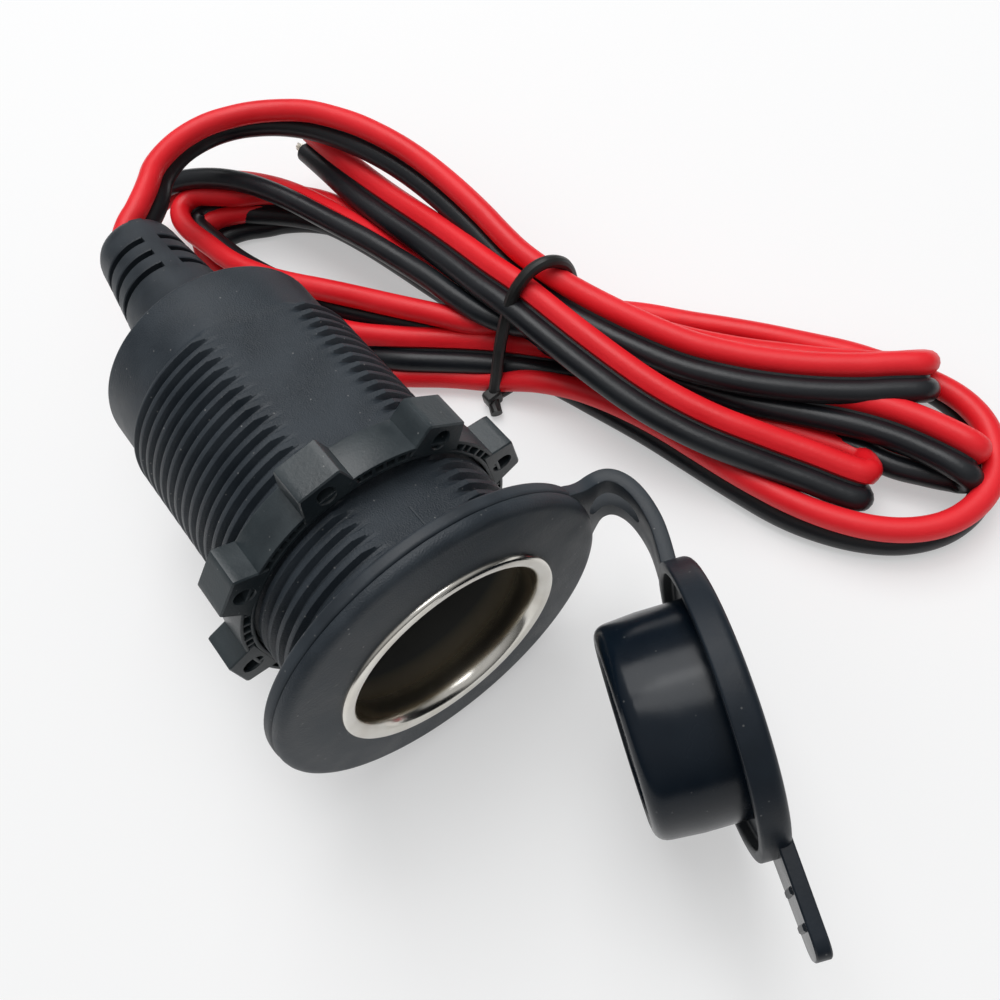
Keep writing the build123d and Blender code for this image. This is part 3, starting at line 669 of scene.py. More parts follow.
def copies_round(tree, shape, count, first_turn, place_along, stretch, finish):
    """A plain mesh of copies of a shape, turned evenly round the barrel's axis."""
    bmesh.ops.recalc_face_normals(shape, faces=shape.faces)
    mesh = bpy.data.meshes.new("one_copy")
    shape.to_mesh(mesh)
    shape.free()
    one = placed("one_copy", mesh)
    holder = placed("copies", bpy.data.meshes.new("copies"))
    modifier = holder.modifiers.new("copies", "NODES")
    modifier.node_group = tree
    values = {
        "Piece": one, "Count": count, "First turn": radians(first_turn), "Place along": place_along,
        "Stretch": stretch, "Finish": finish,
    }
    for item in tree.interface.items_tree:
        if item.in_out == "INPUT":
            modifier[item.identifier] = values[item.name]
    graph = bpy.context.evaluated_depsgraph_get()
    result = bpy.data.meshes.new_from_object(holder.evaluated_get(graph))
    holder.modifiers.remove(modifier)
    bpy.data.objects.remove(holder)
    bpy.data.objects.remove(one)
    return result


def new_finish(name):
    """A new material, with its tree and shader."""
    finish = bpy.data.materials.new(name)
    finish.use_nodes = True
    tree = finish.node_tree
    return finish, tree, tree.nodes["Principled BSDF"]


def own_place(tree):
    """The object's own coordinates, for a material's patterns."""
    return tree.nodes.new("ShaderNodeTexCoord").outputs["Object"]


def noise(tree, place, size):
    """A noise with spots of about a size in millimetres."""
    inputs = {"Scale": 1 / (size * MM), "Detail": NOISE_DETAIL, "Vector": place}
    return add_node(tree, "ShaderNodeTexNoise", inputs).outputs[0]


def spread(tree, value, low, high, start=0.35, end=0.65):
    """A value mapped from its range, by default a noise's, to a low and a high end."""
    inputs = {"From Min": start, "From Max": end, "To Min": low, "To Max": high, "Value": value}
    return add_node(tree, "ShaderNodeMapRange", inputs).outputs[0]


def blended(tree, share, first, second):
    """A colour between two, each a colour or another node's colour."""
    first, second = ((*paint, 1) if isinstance(paint, tuple) else paint for paint in (first, second))
    return add_node(tree, "ShaderNodeMix", {0: share, 6: first, 7: second}, data_type="RGBA").outputs[2]


def bumped(tree, shader, heights):
    """Fine relief from (height, depth in millimetres) layers."""
    normal = None
    for height, depth in heights:
        inputs = {"Distance": depth * MM, "Height": height}
        if normal:
            inputs["Normal"] = normal
        normal = add_node(tree, "ShaderNodeBump", inputs).outputs[0]
    tree.links.new(normal, shader.inputs["Normal"])


def moulded_finish(name, dark, pale, rough, grain, patch, metallic=0.0, specks=0.0, sheen=BLACK_SHEEN):
    """A moulded surface: patches of tone and gloss, fine grain of (size, depth) and pale specks of dust."""
    finish, tree, shader = new_finish(name)
    place = own_place(tree)
    size, depth = grain
    broad = noise(tree, place, patch)
    fine = noise(tree, place, size)
    colour = blended(tree, spread(tree, broad, 0, 1), dark, pale)
    if specks:
        dust = add_node(tree, "ShaderNodeTexVoronoi", {"Scale": 1 / (DUST_SPACING * MM), "Vector": place})
        here = spread(tree, dust.outputs["Distance"], specks, 0, *DUST_EDGE)
        colour = blended(tree, here, colour, DUST_COLOUR)
    feed(tree, shader, {
        "Base Color": colour, "Roughness": spread(tree, broad, *rough), "Metallic": metallic,
        "Specular IOR Level": METAL_SHEEN if metallic else sheen,
    })
    bumped(tree, shader, [(fine, depth), (broad, depth * 2)])
    return finish


def plated_finish():
    """Nickel plate: bright on the rolled lip, warm in the bell mouth, and darkened deeper in the bore by
    painted shade that also dulls it.
    """
    finish, tree, shader = new_finish("nickel_plate")
    place = own_place(tree)
    along = add_node(tree, "ShaderNodeSeparateXYZ", {0: place}).outputs["Y"]
    flare = spread(tree, along, 0, 1, PLATE_WARMS[0] * MM, PLATE_WARMS[1] * MM)
    # Painted shade: how far the bore's painted darkness has come in, growing with depth
    depth = spread(tree, along, 0, 1, PLATE_PAINTED_SHADE[0] * MM, PLATE_PAINTED_SHADE[1] * MM)
    size, relief = PLATE_SPECKLE
    stains = noise(tree, place, PLATE_STAIN)
    speckle = noise(tree, place, size)
    bright = blended(tree, spread(tree, stains, 0, 1), (0.74, 0.72, 0.67), (0.66, 0.63, 0.57))
    warm = blended(tree, flare, bright, (0.62, 0.52, 0.36))
    # Painted shade: deeper in the bore the colour goes near black, rougher and less metallic
    colour = blended(tree, depth, warm, (0.10, 0.102, 0.1))
    feed(tree, shader, {
        "Base Color": colour, "Roughness": spread(tree, depth, 0.2, 0.5, 0, 1),
        "Metallic": spread(tree, depth, 1.0, 0.4, 0, 1),
    })
    bumped(tree, shader, [(speckle, relief)])
    return finish


def wire_finish(name, dark, pale, rough):
    """Soft wire insulation: slow waves of tone along it and a faint orange peel."""
    finish, tree, shader = new_finish(name)
    place = own_place(tree)
    broad = noise(tree, place, WIRE_WAVE[0])
    peel = noise(tree, place, WIRE_PEEL[0])
    feed(tree, shader, {
        "Base Color": blended(tree, spread(tree, broad, 0, 1), dark, pale),
        "Roughness": spread(tree, broad, *rough), "Specular IOR Level": BLACK_SHEEN,
    })
    bumped(tree, shader, [(peel, WIRE_PEEL[1]), (broad, WIRE_WAVE[1])])
    return finish


def housing_turns():
    """Turns of the housing's columns, fine at the edges and mould lines of its flats."""
    edge = degrees(acos(FLAT_DISTANCE / CREST_RADIUS))
    root_edge = degrees(acos(FLAT_DISTANCE / ROOT_RADIUS))
    offsets = [*FLAT_COLUMNS, root_edge, *FLAT_EDGE_COLUMNS, edge]
    turns = []
    for middle in (FLAT_TURN, FLAT_TURN + 180):
        turns += [middle - offset for offset in reversed(offsets)]
        turns += [middle] + [middle + offset for offset in offsets]
        span = 180 - 2 * edge
        turns += [middle + edge + span * i / SIDE_COLUMNS for i in range(1, SIDE_COLUMNS)]
    return turns


def housing_reach(radius, along, turn):
    """A radius of the housing, cut back by the nearer flat and its mould line."""
    if not FLAT_START <= along <= FLAT_RAMP_END:
        return radius
    offset = (turn - FLAT_TURN + 90) % 180 - 90
    rise = max(0, along - THREAD_END) / (FLAT_RAMP_END - THREAD_END)
    limit = (FLAT_DISTANCE + (ROOT_RADIUS - FLAT_DISTANCE) * rise) / cos(radians(offset))
    if abs(offset) < MOULD_LINE_HALF and along < MOULD_LINE_END:
        limit -= MOULD_LINE_DEPTH
    return min(radius, limit)


def housing_corners():
    """Corners of the housing's outline, from the lip's seat round the outside and back up the bore."""
    corners = [
        (HOUSING_BORE, LIP_SEAT, 0), (LIP_RADIUS + LIP_PLAY, LIP_SEAT, 0),
        (FLANGE_RADIUS, FLANGE_EDGE, FLANGE_ROUND), (FLANGE_RADIUS, FLANGE_BACK, FINE_ROUND),
        (CREST_RADIUS, FLANGE_BACK, 0), (CREST_RADIUS, FLAT_START - HAIR, 0), (CREST_RADIUS, FLAT_START, 0),
    ]
    groove = [
        (CREST_RADIUS, GROOVE_MOUTH / 2, GROOVE_MOUTH_ROUND),
        (ROOT_RADIUS, GROOVE_FLOOR / 2, GROOVE_FLOOR_ROUND),
    ]
    for i in range(GROOVE_COUNT):
        corners += both_ways(FIRST_GROOVE + i * GROOVE_PITCH, groove)
    corners += [
        (CREST_RADIUS, THREAD_END, FINE_ROUND), (ROOT_RADIUS, THREAD_END + THREAD_FALL, THREAD_FALL_ROUND),
        (ROOT_RADIUS, FLAT_RAMP_END, 0), (ROOT_RADIUS, BARREL_END, BARREL_END_ROUND),
        (REAR_BORE, BARREL_END, FINE_ROUND), (REAR_BORE, REAR_SEAT, 0), (CHAMBER_RADIUS, REAR_SEAT, 0),
        (CHAMBER_RADIUS, LINER_BACK, 0), (HOUSING_BORE, LINER_BACK, 0),
    ]
    return corners


def make_housing():
    """Flange and threaded barrel with two flats."""
    shape = bmesh.new()
    spin(shape, soft_corners(housing_corners()), housing_turns(), True, housing_reach)
    finish = moulded_finish(
        "housing_plastic", (0.017, 0.024, 0.032), (0.029, 0.038, 0.048), rough=(0.42, 0.54),
        grain=(0.17, 0.055), patch=5.0, specks=0.5,
    )
    settle(shown("housing_shell", shape, [finish]), "socket", "housing_plastic", "socket_housing")


def make_liner():
    """Plated tube with a rolled lip and a bell mouth."""
    start = Vector((LIP_RADIUS - LIP_FLAT, LIP_CROWN))
    corner = Vector((BORE_RADIUS, LIP_CROWN))
    end = Vector((BORE_RADIUS, BELL_END))
    lip = soft_corners([(LIP_RADIUS, LIP_SEAT, 0), (LIP_RADIUS, LIP_CROWN, LIP_ROUND), (*start, 0)])
    bell = []
    for step in range(1, BELL_STEPS + 1):
        t = step / BELL_STEPS
        bell.append(start * (1 - t) ** 2 + corner * 2 * t * (1 - t) + end * t ** 2)
    wall = LINER_RADIUS - BORE_RADIUS
    tube = [
        (BORE_RADIUS, BORE_END), (LINER_NECK, LINER_NECK_START), (LINER_NECK, LINER_BOTTOM),
        (LINER_HOLE, LINER_BOTTOM), (LINER_HOLE, LINER_BACK), (LINER_NECK + wall, LINER_BACK),
        (LINER_NECK + wall, LINER_NECK_START), (LINER_RADIUS, BORE_END), (LINER_RADIUS, LIP_SEAT),
    ]
    shape = bmesh.new()
    spin(shape, lip + bell + tube, even_turns(LINER_COLUMNS), True)
    settle(shown("liner_tube", shape, [plated_finish()]), "socket", "plated_liner", "contact_liner")


def wing_shape():
    """One wing of the nut at the top, with a blind oval pocket in its front."""
    shape = bmesh.new()
    foot = WING_FOOT_WIDTH / 2
    tip = WING_TIP_WIDTH / 2
    outline = soft_corners([
        (-foot, WING_FOOT, 0), (-tip, WING_TIP, WING_ROUND),
        (tip, WING_TIP, WING_ROUND), (foot, WING_FOOT, 0),
    ])
    outline = divided(outline, WING_SIDE)
    face = NUT_FRONT - WING_PROUD
    front = slab(shape, outline, face, NUT_BACK + WING_PROUD, FINE_ROUND)
    half_width = POCKET_WIDTH / 2
    half_length = POCKET_LENGTH / 2
    oval = []
    for point in outline:
        way = Vector((point.x / half_width, (point.y - POCKET_PLACE) / half_length)).normalized()
        oval.append((way.x * half_width, POCKET_PLACE + way.y * half_length))
    rim = loop_at(shape, drawn_in(oval, -POCKET_FLARE), face)
    wall = loop_at(shape, oval, NUT_FRONT + FINE_ROUND)
    floor = loop_at(shape, drawn_in(oval, POCKET_DRAFT), NUT_FRONT + POCKET_DEPTH)
    stitch(shape, [front, rim, wall, floor])
    shape.faces.new(floor)
    return shape


def make_nut(tree):
    """Lock nut: a ring with a ribbed channel in its front, two inner ridges and eight wings."""
    finish = moulded_finish(
        "nut_plastic", (0.017, 0.025, 0.03), (0.032, 0.043, 0.049), rough=(0.34, 0.46), grain=(0.3, 0.02),
        patch=4.0, specks=0.4, sheen=NUT_SHEEN,
    )
    corners = [(NUT_BORE, NUT_FRONT, FINE_ROUND)]
    ridge = [(NUT_BORE, NUT_RIDGE_FOOT, 0), (NUT_RIDGE, NUT_RIDGE_TOP, NUT_RIDGE_ROUND)]
    for middle in NUT_RIDGES:
        corners += both_ways(middle, ridge)
    corners += [
        (NUT_BORE, NUT_BACK, NUT_BORE_ROUND), (NUT_RING, NUT_BACK, NUT_RING_ROUND),
        (NUT_RING, NUT_FRONT, FINE_ROUND), (CHANNEL_OUTER, NUT_FRONT, CHANNEL_ROUND),
        (CHANNEL_OUTER, CHANNEL_FLOOR, 0), (CHANNEL_INNER, CHANNEL_FLOOR, 0),
        (CHANNEL_INNER, NUT_FRONT, CHANNEL_ROUND),
    ]
    shape = bmesh.new()
    spin(shape, soft_corners(corners), even_turns(NUT_COLUMNS), True)
    rib = bmesh.new()
    outline = oblong(-RIB_HALF, RIB_HALF, CHANNEL_INNER - RIB_BITE, CHANNEL_OUTER + RIB_BITE)
    depth = CHANNEL_FLOOR - NUT_FRONT - RIB_DROP
    rib.faces.new(slab(rib, outline, -depth, RIB_SINK, RIB_EDGE))
    ribs = copies_round(tree, rib, RIB_COUNT, RIB_TURN, CHANNEL_FLOOR, RIB_STRETCH, finish)
    wings = copies_round(tree, wing_shape(), WING_COUNT, WING_TURN, 0.0, 0.0, finish)
    for copies in (ribs, wings):
        shape.from_mesh(copies)
        bpy.data.meshes.remove(copies)
    settle(shown("nut_moulding", shape, [finish]), "lock_nut", "nut_plastic", "lock_nut")


def on_plug(face):
    """Whether a face of the closed cap is on its plug, clear of the web."""
    middle = face.calc_center_median()
    inside = Vector((middle.x, middle.z)).length < PLUG_RADIUS + GLOSS_MARGIN
    return inside and middle.y > CAP_WEB_BACK + GLOSS_MARGIN


def make_cap(rubber, gloss):
    """Dust cap: disc and skirt, hollow plug, and a pull tab with grip ridges."""
    corners = [
        (0, CAP_FRONT, 0), (CAP_RADIUS, CAP_FRONT, CAP_ROUND), (CAP_RADIUS, 0, CAP_EDGE),
        (SKIRT_BORE, 0, CAP_EDGE), (SKIRT_BORE, CAP_WEB_BACK, CAP_EDGE),
        (PLUG_RADIUS, CAP_WEB_BACK, PLUG_ROOT_ROUND), (PLUG_RADIUS, PLUG_STRAIGHT, 0),
        (PLUG_TIP_RADIUS, PLUG_REACH, PLUG_TIP_ROUND),
        (PLUG_TIP_RADIUS - PLUG_WALL, PLUG_REACH, PLUG_MOUTH_ROUND),
        (PLUG_RADIUS - PLUG_WALL, PLUG_STRAIGHT, 0),
        (PLUG_RADIUS - PLUG_WALL, CAP_WEB_BACK, PLUG_FLOOR_ROUND), (0, CAP_WEB_BACK, 0),
    ]
    shape = bmesh.new()
    spin(shape, soft_corners(corners), even_turns(CAP_COLUMNS), False)
    for face in shape.faces:
        face.material_index = int(on_plug(face))
    tab = soft_corners([
        (-TAB_ROOT, TAB_ROOT_HALF, 0), (-TAB_ROOT, -TAB_ROOT_HALF, 0),
        (-TAB_TIP, -TAB_TIP_HALF, TAB_ROUND), (-TAB_TIP, TAB_TIP_HALF, TAB_ROUND),
    ])
    back = CAP_FRONT + TAB_THICKNESS
    shape.faces.new(slab(shape, tab, CAP_FRONT, back, FINE_ROUND))
    # The tab's back, made just before the face that closes its front, is glossy like the plug
    shape.faces.ensure_lookup_table()
    shape.faces[-2].material_index = 1
    thick, reach = TAB_RIDGE_HALF
    for place in TAB_RIDGES:
        ridge = oblong(place - thick, place + thick, -reach, reach)
        shape.faces.new(slab(shape, ridge, back - TAB_RIDGE_SINK, back + TAB_RIDGE_RISE, FINE_ROUND))
    turn = Matrix.Rotation(OPEN_ANGLE, 4, "Z")
    swing = Matrix.Translation(HINGE) @ turn @ Matrix.Translation(-HINGE)
    bmesh.ops.transform(shape, matrix=swing, verts=shape.verts)
    settle(shown("cap_moulding", shape, [rubber, gloss]), "cap", "cap_rubber", "dust_cap")


def make_ring(rubber):
    """Soft ring behind the flange, which the strap grows from."""
    corners = [
        (RING_BORE, FLANGE_BACK, 0), (RING_RADIUS, FLANGE_BACK, RING_ROUND),
        (RING_RADIUS, RING_BACK, RING_ROUND), (RING_BORE, RING_BACK, 0),
    ]
    shape = bmesh.new()
    spin(shape, soft_corners(corners), even_turns(RING_COLUMNS), True)
    settle(shown("strap_ring", shape, [rubber]), "socket", "cap_rubber", "cap_ring")


def strap_slot(share):
    """Half width of the strap's slot, which has round ends."""
    inside = min(share - STRAP_SLOT_START, STRAP_SLOT_END - share) / STRAP_SLOT_ROUND
    return STRAP_SLOT_WIDTH / 2 * (1 - max(0, 1 - inside) ** 2) ** 0.5


def make_strap(rubber, gloss):
    """Slotted strap, bent from the ring to the cap's rim."""
    points = spline_points("strap_line", STRAP_ROUTE)
    last = len(points) - 1
    shares = [i / last for i in range(len(points))]
    starts, ends = round(STRAP_SLOT_START * last), round(STRAP_SLOT_END * last)
    shape = bmesh.new()
    rows = []
    for i, (point, along) in enumerate(zip(points, directions_along(points))):
        out = along.cross(Vector((0, 0, 1))) * STRAP_THICKNESS / 2
        gap = strap_slot(shares[i]) if starts < i < ends else STRAP_PLAIN_HALF
        if i in (starts, ends):
            gap = 0.0
        flare = max(0, 1 - shares[i] / STRAP_FLARE) ** 2
        half = (STRAP_WIDTH + (STRAP_ROOT_WIDTH - STRAP_WIDTH) * flare) / 2
        across = (-half, -gap, gap, half)
        rows.append([
            [shape.verts.new(point + out * way + Vector((0, 0, z))) for z in across] for way in (-1, 1)
        ])
    for i, (first, second) in enumerate(zip(rows, rows[1:])):
        slot = starts <= i < ends
        for level in (0, 1):
            for k in ((0, 2) if slot else (0, 1, 2)):
                corners = (first[level][k], first[level][k + 1], second[level][k + 1], second[level][k])
                shape.faces.new(corners).material_index = 1 - level
        for k in ((0, 1, 2, 3) if slot else (0, 3)):
            shape.faces.new((first[0][k], first[1][k], second[1][k], second[0][k]))
    for row in (rows[0], rows[-1]):
        for k in (0, 1, 2):
            shape.faces.new((row[0][k], row[0][k + 1], row[1][k + 1], row[1][k]))
    bmesh.ops.remove_doubles(shape, verts=shape.verts, dist=WELD)
    bmesh.ops.dissolve_degenerate(shape, edges=shape.edges, dist=WELD)
    bmesh.ops.recalc_face_normals(shape, faces=shape.faces)
    sides = [e for e in shape.edges if all(abs(v.co.z) > STRAP_WIDTH / 2 - HAIR for v in e.verts)]
    corners = [e for e in sides if len(e.link_faces) == 2 and e.calc_face_angle() > STRAP_EDGE_ANGLE]
    bmesh.ops.bevel(
        shape, geom=corners, offset=STRAP_EDGE, segments=2, profile=0.5, affect="EDGES", clamp_overlap=True
    )
    strap = shown("strap_band", shape, [rubber, gloss])
    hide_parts("cap_strap")
    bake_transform(strap)


def boot_radius(along):
    """The boot's outer radius at a place along it."""
    for (r0, a0), (r1, a1) in zip(BOOT_PROFILE, BOOT_PROFILE[1:]):
        if along <= a1:
            return r0 + (r1 - r0) * (along - a0) / (a1 - a0)
    return BOOT_PROFILE[-1][0]


def boot_reach(radius, along, turn):
    """A radius of the boot; slots stop at the two spines."""
    spine = min(abs((turn - middle + 180) % 360 - 180) for middle in BOOT_SPINE_TURNS)
    if spine > BOOT_SPINE_HALF:
        return radius
    full = boot_radius(along)
    if along > 0 and radius >= full - BOOT_SKIN:
        return max(radius, full)
    return full if radius == BOOT_SLOT_FLOOR else radius


def make_boot():
    """Boot of the lead: a disc in the barrel's end and a leaning neck with slots across it."""
    shape = bmesh.new()
    outline = list(BOOT_FOOT_OUTLINE)
    half = BOOT_SLOT_WIDTH / 2
    mouth = [(half + BOOT_SLOT_LIP, 0), (half, BOOT_SLOT_FALL), (half - BOOT_SLOT_WALL, None)]
    edges = [(-along, cut) for along, cut in mouth] + mouth[::-1]
    for slot in BOOT_SLOTS:
        for along, cut in edges:
            place = slot + along
            outline.append((BOOT_SLOT_FLOOR if cut is None else boot_radius(place) - cut, place))
    end = soft_corners([
        (boot_radius(BOOT_END_START), BOOT_END_START, 0), (BOOT_END_RADIUS, BOOT_LENGTH, BOOT_END_ROUND),
        (0, BOOT_LENGTH, 0),
    ])
    outline += [tuple(point) for point in end]
    turns = []
    spine_edge = BOOT_SPINE_COLUMNS[-1]
    span = 180 - 2 * spine_edge
    for middle in BOOT_SPINE_TURNS:
        turns += [middle + offset for offset in BOOT_SPINE_COLUMNS]
        turns += [middle + spine_edge + span * i / BOOT_SIDE_COLUMNS for i in range(1, BOOT_SIDE_COLUMNS)]
    spin(shape, outline, turns, False, boot_reach)
    lean = Matrix.Translation(BOOT_FOOT) @ Matrix.Rotation(-BOOT_LEAN, 4, "Z")
    bmesh.ops.transform(shape, matrix=lean, verts=shape.verts)
    disc = soft_corners([
        (0, REAR_SEAT, 0), (BOOT_DISC, REAR_SEAT, 0), (BOOT_DISC, BOOT_FOOT.y, BOOT_DISC_ROUND),
        (0, BOOT_FOOT.y, 0),
    ])
    spin(shape, disc, even_turns(BOOT_DISC_COLUMNS), False)
    finish = moulded_finish(
        "boot_rubber", (0.018, 0.024, 0.031), (0.03, 0.038, 0.047), rough=(0.42, 0.56), grain=(0.2, 0.02),
        patch=4.0, specks=0.3,
    )
    settle(shown("boot_sleeve", shape, [finish]), "socket", "boot_rubber", "strain_relief")


def twin_section():
    """Outline of the twin lead: (across, out), the red wire first and on the positive side."""
    half = WIRE_SPACING / 2
    outline = []
    for red in (True, False):
        for step in range(WIRE_SIDES + 1):
            turn = WEB_TURN * (1 - 2 * step / WIRE_SIDES)
            radius = WIRE_RADIUS + (WIRE_RIDGE if red and step == 1 else 0)
            across = half + radius * cos(turn)
            out = radius * sin(turn)
            outline.append((across, out) if red else (-across, -out))
    return outline


def make_lead(finishes, tie, tree):
    """The twin lead, folded into its hank, from the boot to its bare end."""
    middle = []
    guide = []
    for side, places in LEAD_LEGS:
        for place in places:
            middle.append(Vector(place))
            guide.append(Vector(place) + Vector(side).normalized() * WIRE_SPACING)
    line = spline_points("lead_line", middle)
    sides = [red - point for point, red in zip(line, spline_points("lead_red_line", guide))]
    section = twin_section()
    half = len(section) // 2
    shape = bmesh.new()
    loops = carried_loops(shape, line, sides, section)
    for first, second in zip(loops, loops[1:]):
        for i in range(2 * half):
            j = (i + 1) % (2 * half)
            face = shape.faces.new((first[i], second[i], second[j], first[j]))
            face.material_index = 0 if max(i, j) < half and i < j else 1
    for loop in (loops[0], loops[-1]):
        ends = [loop[:half], loop[half:], [loop[0], loop[-1], loop[half], loop[half - 1]]]
        for corners, index in zip(ends, (0, 1, 1)):
            shape.faces.new(corners).material_index = index
    # What would sink into the floor is pressed flat on it
    for vert in shape.verts:
        vert.co.z = max(vert.co.z, FLOOR_LEVEL / MM)
    lead = shown("twin_lead", shape, finishes)
    settle(lead, "socket", "red_wire", "lead_red", "lead_black", "lead_hank")
    tips = make_tips(tree, line[-1], (line[-1] - line[-3]).normalized(), sides[-1].normalized())


def make_tie():
    """Round plastic tie, drawn up round the hank and closed at a small head."""
    line = spline_points("tie_line", TIE_ROUTE)
    section = [
        (TIE_RADIUS * cos(radians(turn)), TIE_RADIUS * sin(radians(turn))) for turn in even_turns(TIE_SIDES)
    ]
    shape = bmesh.new()
    loops = carried_loops(shape, line, [TIE_NEAR_SIDE] * len(line), section)
    stitch(shape, loops)
    shape.faces.new(loops[0])
    shape.faces.new(loops[-1])
    head = soft_corners([
        (across * TIE_HEAD_HALF, out * TIE_HEAD_HALF, TIE_HEAD_ROUND)
        for across, out in ((-1, -1), (1, -1), (1, 1), (-1, 1))
    ])
    block = bmesh.new()
    block.faces.new(slab(block, head, -TIE_HEAD_DEPTH, TIE_HEAD_DEPTH, TIE_HEAD_EDGE))
    bmesh.ops.translate(block, vec=TIE_HEAD, verts=block.verts)
    add_shape(shape, block)
    finish = moulded_finish(
        "tie_plastic", (0.012, 0.012, 0.012), (0.02, 0.02, 0.02), rough=(0.35, 0.5), grain=(0.3, 0.01),
        patch=3.0,
    )
    tie = shown("tie_band", shape, [finish])
    settle(tie, "socket", "tie_plastic", "cable_tie")
    return tie


def make_tips(tree, end, along, side):
    """Bare copper strands at the end of each wire."""
    finish = moulded_finish(
        "tinned_copper", (0.74, 0.68, 0.58), (0.82, 0.78, 0.7), rough=(0.25, 0.4), grain=(0.3, 0.01),
        patch=1.0, metallic=0.9,
    )
    strand = bmesh.new()
    ring = [
        (STRAND_RADIUS * sin(radians(turn)), STRAND_RING + STRAND_RADIUS * cos(radians(turn)))
        for turn in even_turns(STRAND_SIDES)
    ]
    strand.faces.new(slab(strand, ring, -STRAND_ROOT, STRAND_LENGTH, STRAND_EDGE))
    strands = copies_round(tree, strand, STRAND_COUNT, 0, 0.0, STRAND_STRETCH, finish)
    core = [(x, z - STRAND_RING) for x, z in drawn_in(ring, CORE_PLAY)]
    across = (side - along * side.dot(along)).normalized()
    axes = Matrix((across, along, across.cross(along))).transposed().to_4x4()
    shape = bmesh.new()
    for way in (-1, 1):
        one = bmesh.new()
        one.from_mesh(strands)
        one.faces.new(slab(one, core, -STRAND_ROOT, STRAND_LENGTH + CORE_EXTRA, STRAND_EDGE))
        place = Matrix.Translation(end + across * way * WIRE_SPACING / 2) @ axes
        bmesh.ops.transform(one, matrix=place, verts=one.verts)
        add_shape(shape, one)
    bpy.data.meshes.remove(strands)
    tips = shown("copper_tips", shape, [finish])
    settle(tips, "socket", "tinned_copper", "bare_tips")
    return tips


def dress_inside(red, black):
    """Finishes of the pieces that keep their own plain shape."""
    fibre = moulded_finish(
        "fibre", (0.045, 0.04, 0.034), (0.07, 0.06, 0.05), rough=(0.6, 0.75), grain=(0.2, 0.03), patch=2.0
    )
    brass = moulded_finish(
        "dull_brass", (0.55, 0.40, 0.17), (0.70, 0.53, 0.26), rough=(0.28, 0.45), grain=(0.3, 0.01),
        patch=2.5, metallic=1.0,
    )
    steel = moulded_finish(
        "stamped_steel", (0.45, 0.45, 0.44), (0.58, 0.58, 0.57), rough=(0.3, 0.45), grain=(0.3, 0.01),
        patch=2.5, metallic=1.0,
    )
    finishes = {
        "inner_wire_red": red, "inner_wire_black": black, "centre_insulator": fibre, "rear_washer": fibre,
        "centre_contact": brass, "contact_rivet": brass, "positive_terminal": steel,
        "negative_terminal": steel,
    }
    for name, finish in finishes.items():
        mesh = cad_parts[name].data
        mesh.materials.clear()
        mesh.materials.append(finish)


def make_camera():
    """The camera at the photograph's place and angle."""
    back = CAMERA_RIGHT.cross(CAMERA_UP)
    turn = Matrix((CAMERA_RIGHT, CAMERA_UP, back)).transposed().to_4x4()
    data = bpy.data.cameras.new("camera")
    data.lens = CAMERA_LENS
    data.sensor_width = CAMERA_SENSOR
    data.clip_start = MM
    camera = placed("camera", data)
    camera.matrix_world = Matrix.Translation(CAMERA_PLACE * MM) @ turn
    bpy.context.scene.camera = camera


def make_floor():
    """A wide pale floor under the part, partly white by itself so that its shadows stay light."""
    mesh = bpy.data.meshes.new("floor")
    corners = [(-1, -1), (1, -1), (1, 1), (-1, 1)]
    mesh.from_pydata([(x * FLOOR_HALF, y * FLOOR_HALF, FLOOR_LEVEL) for x, y in corners], [], [(0, 1, 2, 3)])
    floor = placed("floor", mesh)
    finish, tree, shader = new_finish("pale_paper")
    feed(tree, shader, {
        "Base Color": (*FLOOR_COLOUR, 1), "Roughness": FLOOR_ROUGH, "Specular IOR Level": 0.0,
    })
    path = tree.nodes.new("ShaderNodeLightPath")
    seen = path.outputs["Is Camera Ray"]
    for ray in ("Is Glossy Ray", "Is Transmission Ray"):
        inputs = {0: seen, 1: path.outputs[ray]}
        seen = add_node(tree, "ShaderNodeMath", inputs, operation="MAXIMUM").outputs[0]
    glow = tree.nodes.new("ShaderNodeEmission")
    share = spread(tree, seen, 0, FLOOR_GLOW, 0, 1)
    mix = add_node(tree, "ShaderNodeMixShader", {0: share, 1: shader.outputs[0], 2: glow.outputs[0]})
    tree.links.new(mix.outputs[0], tree.nodes["Material Output"].inputs["Surface"])
    mesh.materials.append(finish)


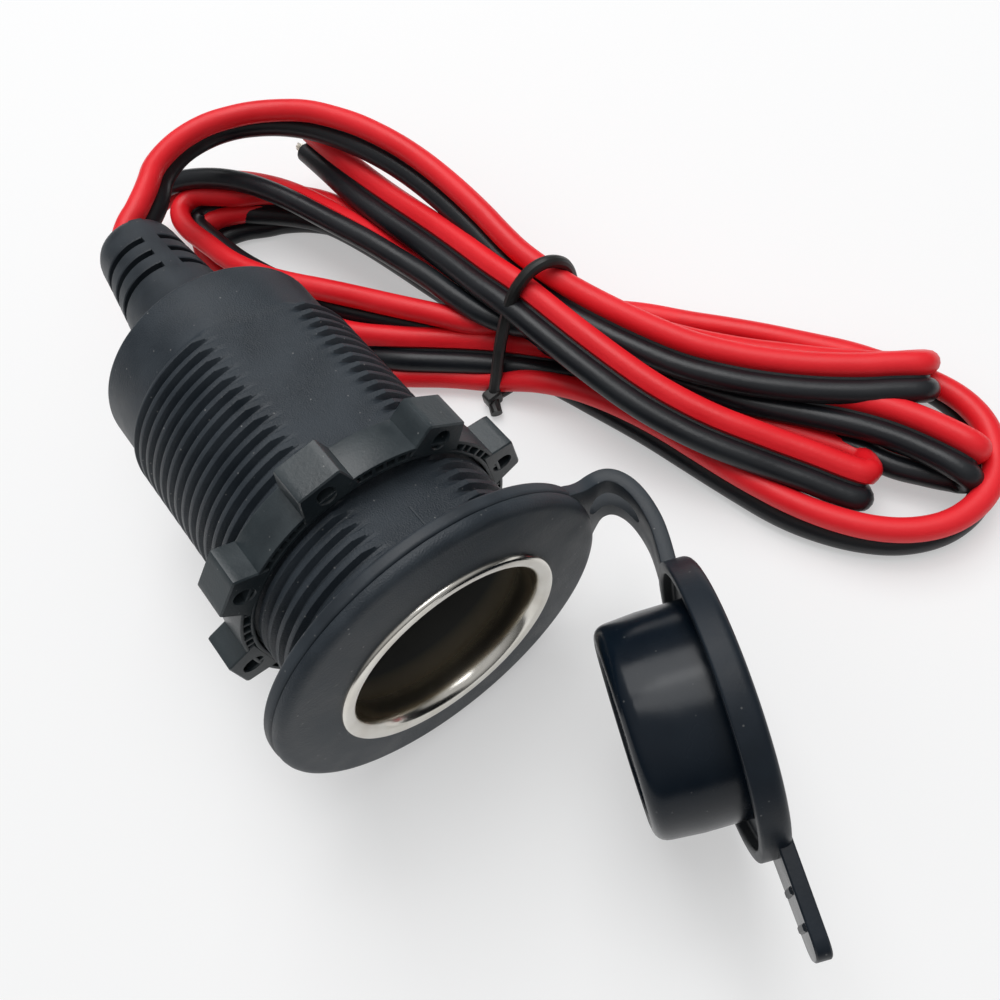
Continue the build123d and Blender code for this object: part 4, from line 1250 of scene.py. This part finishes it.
def make_light():
    """A room with a bright ceiling and dim sides, and two large soft lamps."""
    world = bpy.data.worlds.new("room")
    world.use_nodes = True
    tree = world.node_tree
    way = tree.nodes.new("ShaderNodeTexCoord").outputs["Generated"]
    parts = add_node(tree, "ShaderNodeSeparateXYZ", {0: way})
    level = spread(tree, parts.outputs["Z"], ROOM_SIDES, ROOM_TOP, *ROOM_RISE)
    feed(tree, tree.nodes["Background"], {"Color": (1, 1, 1, 1), "Strength": level})
    bpy.context.scene.world = world
    for name, (direction, size, power) in (("back_lamp", BACK_LAMP), ("top_lamp", TOP_LAMP)):
        data = bpy.data.lights.new(name, "AREA")
        data.size = size
        data.energy = power
        lamp = placed(name, data)
        way = Vector(direction).normalized()
        lamp.location = Vector(LAMP_TARGET) + way * LAMP_DISTANCE
        lamp.rotation_euler = way.to_track_quat("Z", "Y").to_euler()


bpy.context.scene.view_settings.view_transform = "Standard"
cap_rubber = moulded_finish(
    "cap_rubber", (0.007, 0.011, 0.017), (0.01, 0.016, 0.024), rough=(0.36, 0.48), grain=(0.3, 0.012),
    patch=5.0, specks=0.25, sheen=CAP_SHEEN,
)
cap_gloss = moulded_finish(
    "cap_gloss", (0.003, 0.007, 0.013), (0.005, 0.01, 0.017), rough=(0.18, 0.28), grain=(1.2, 0.01),
    patch=6.0, specks=0.2, sheen=CAP_SHEEN,
)
ring_rubber = moulded_finish(
    "ring_rubber", (0.016, 0.022, 0.029), (0.028, 0.037, 0.047), rough=(0.44, 0.56), grain=(0.25, 0.02),
    patch=4.0, specks=0.3,
)
red_lead = wire_finish("red_wire", (0.80, 0.011, 0.019), (0.88, 0.017, 0.027), (0.36, 0.48))
black_lead = wire_finish("black_wire", (0.008, 0.009, 0.012), (0.012, 0.014, 0.017), (0.3, 0.42))
copies_tree = round_copies_tree()
make_housing()
make_liner()
make_nut(copies_tree)
make_cap(cap_rubber, cap_gloss)
make_ring(ring_rubber)
make_strap(ring_rubber, cap_gloss)
make_boot()
make_lead([red_lead, black_lead], make_tie(), copies_tree)
dress_inside(red_lead, black_lead)
bpy.data.node_groups.remove(copies_tree)
make_camera()
make_floor()
make_light()
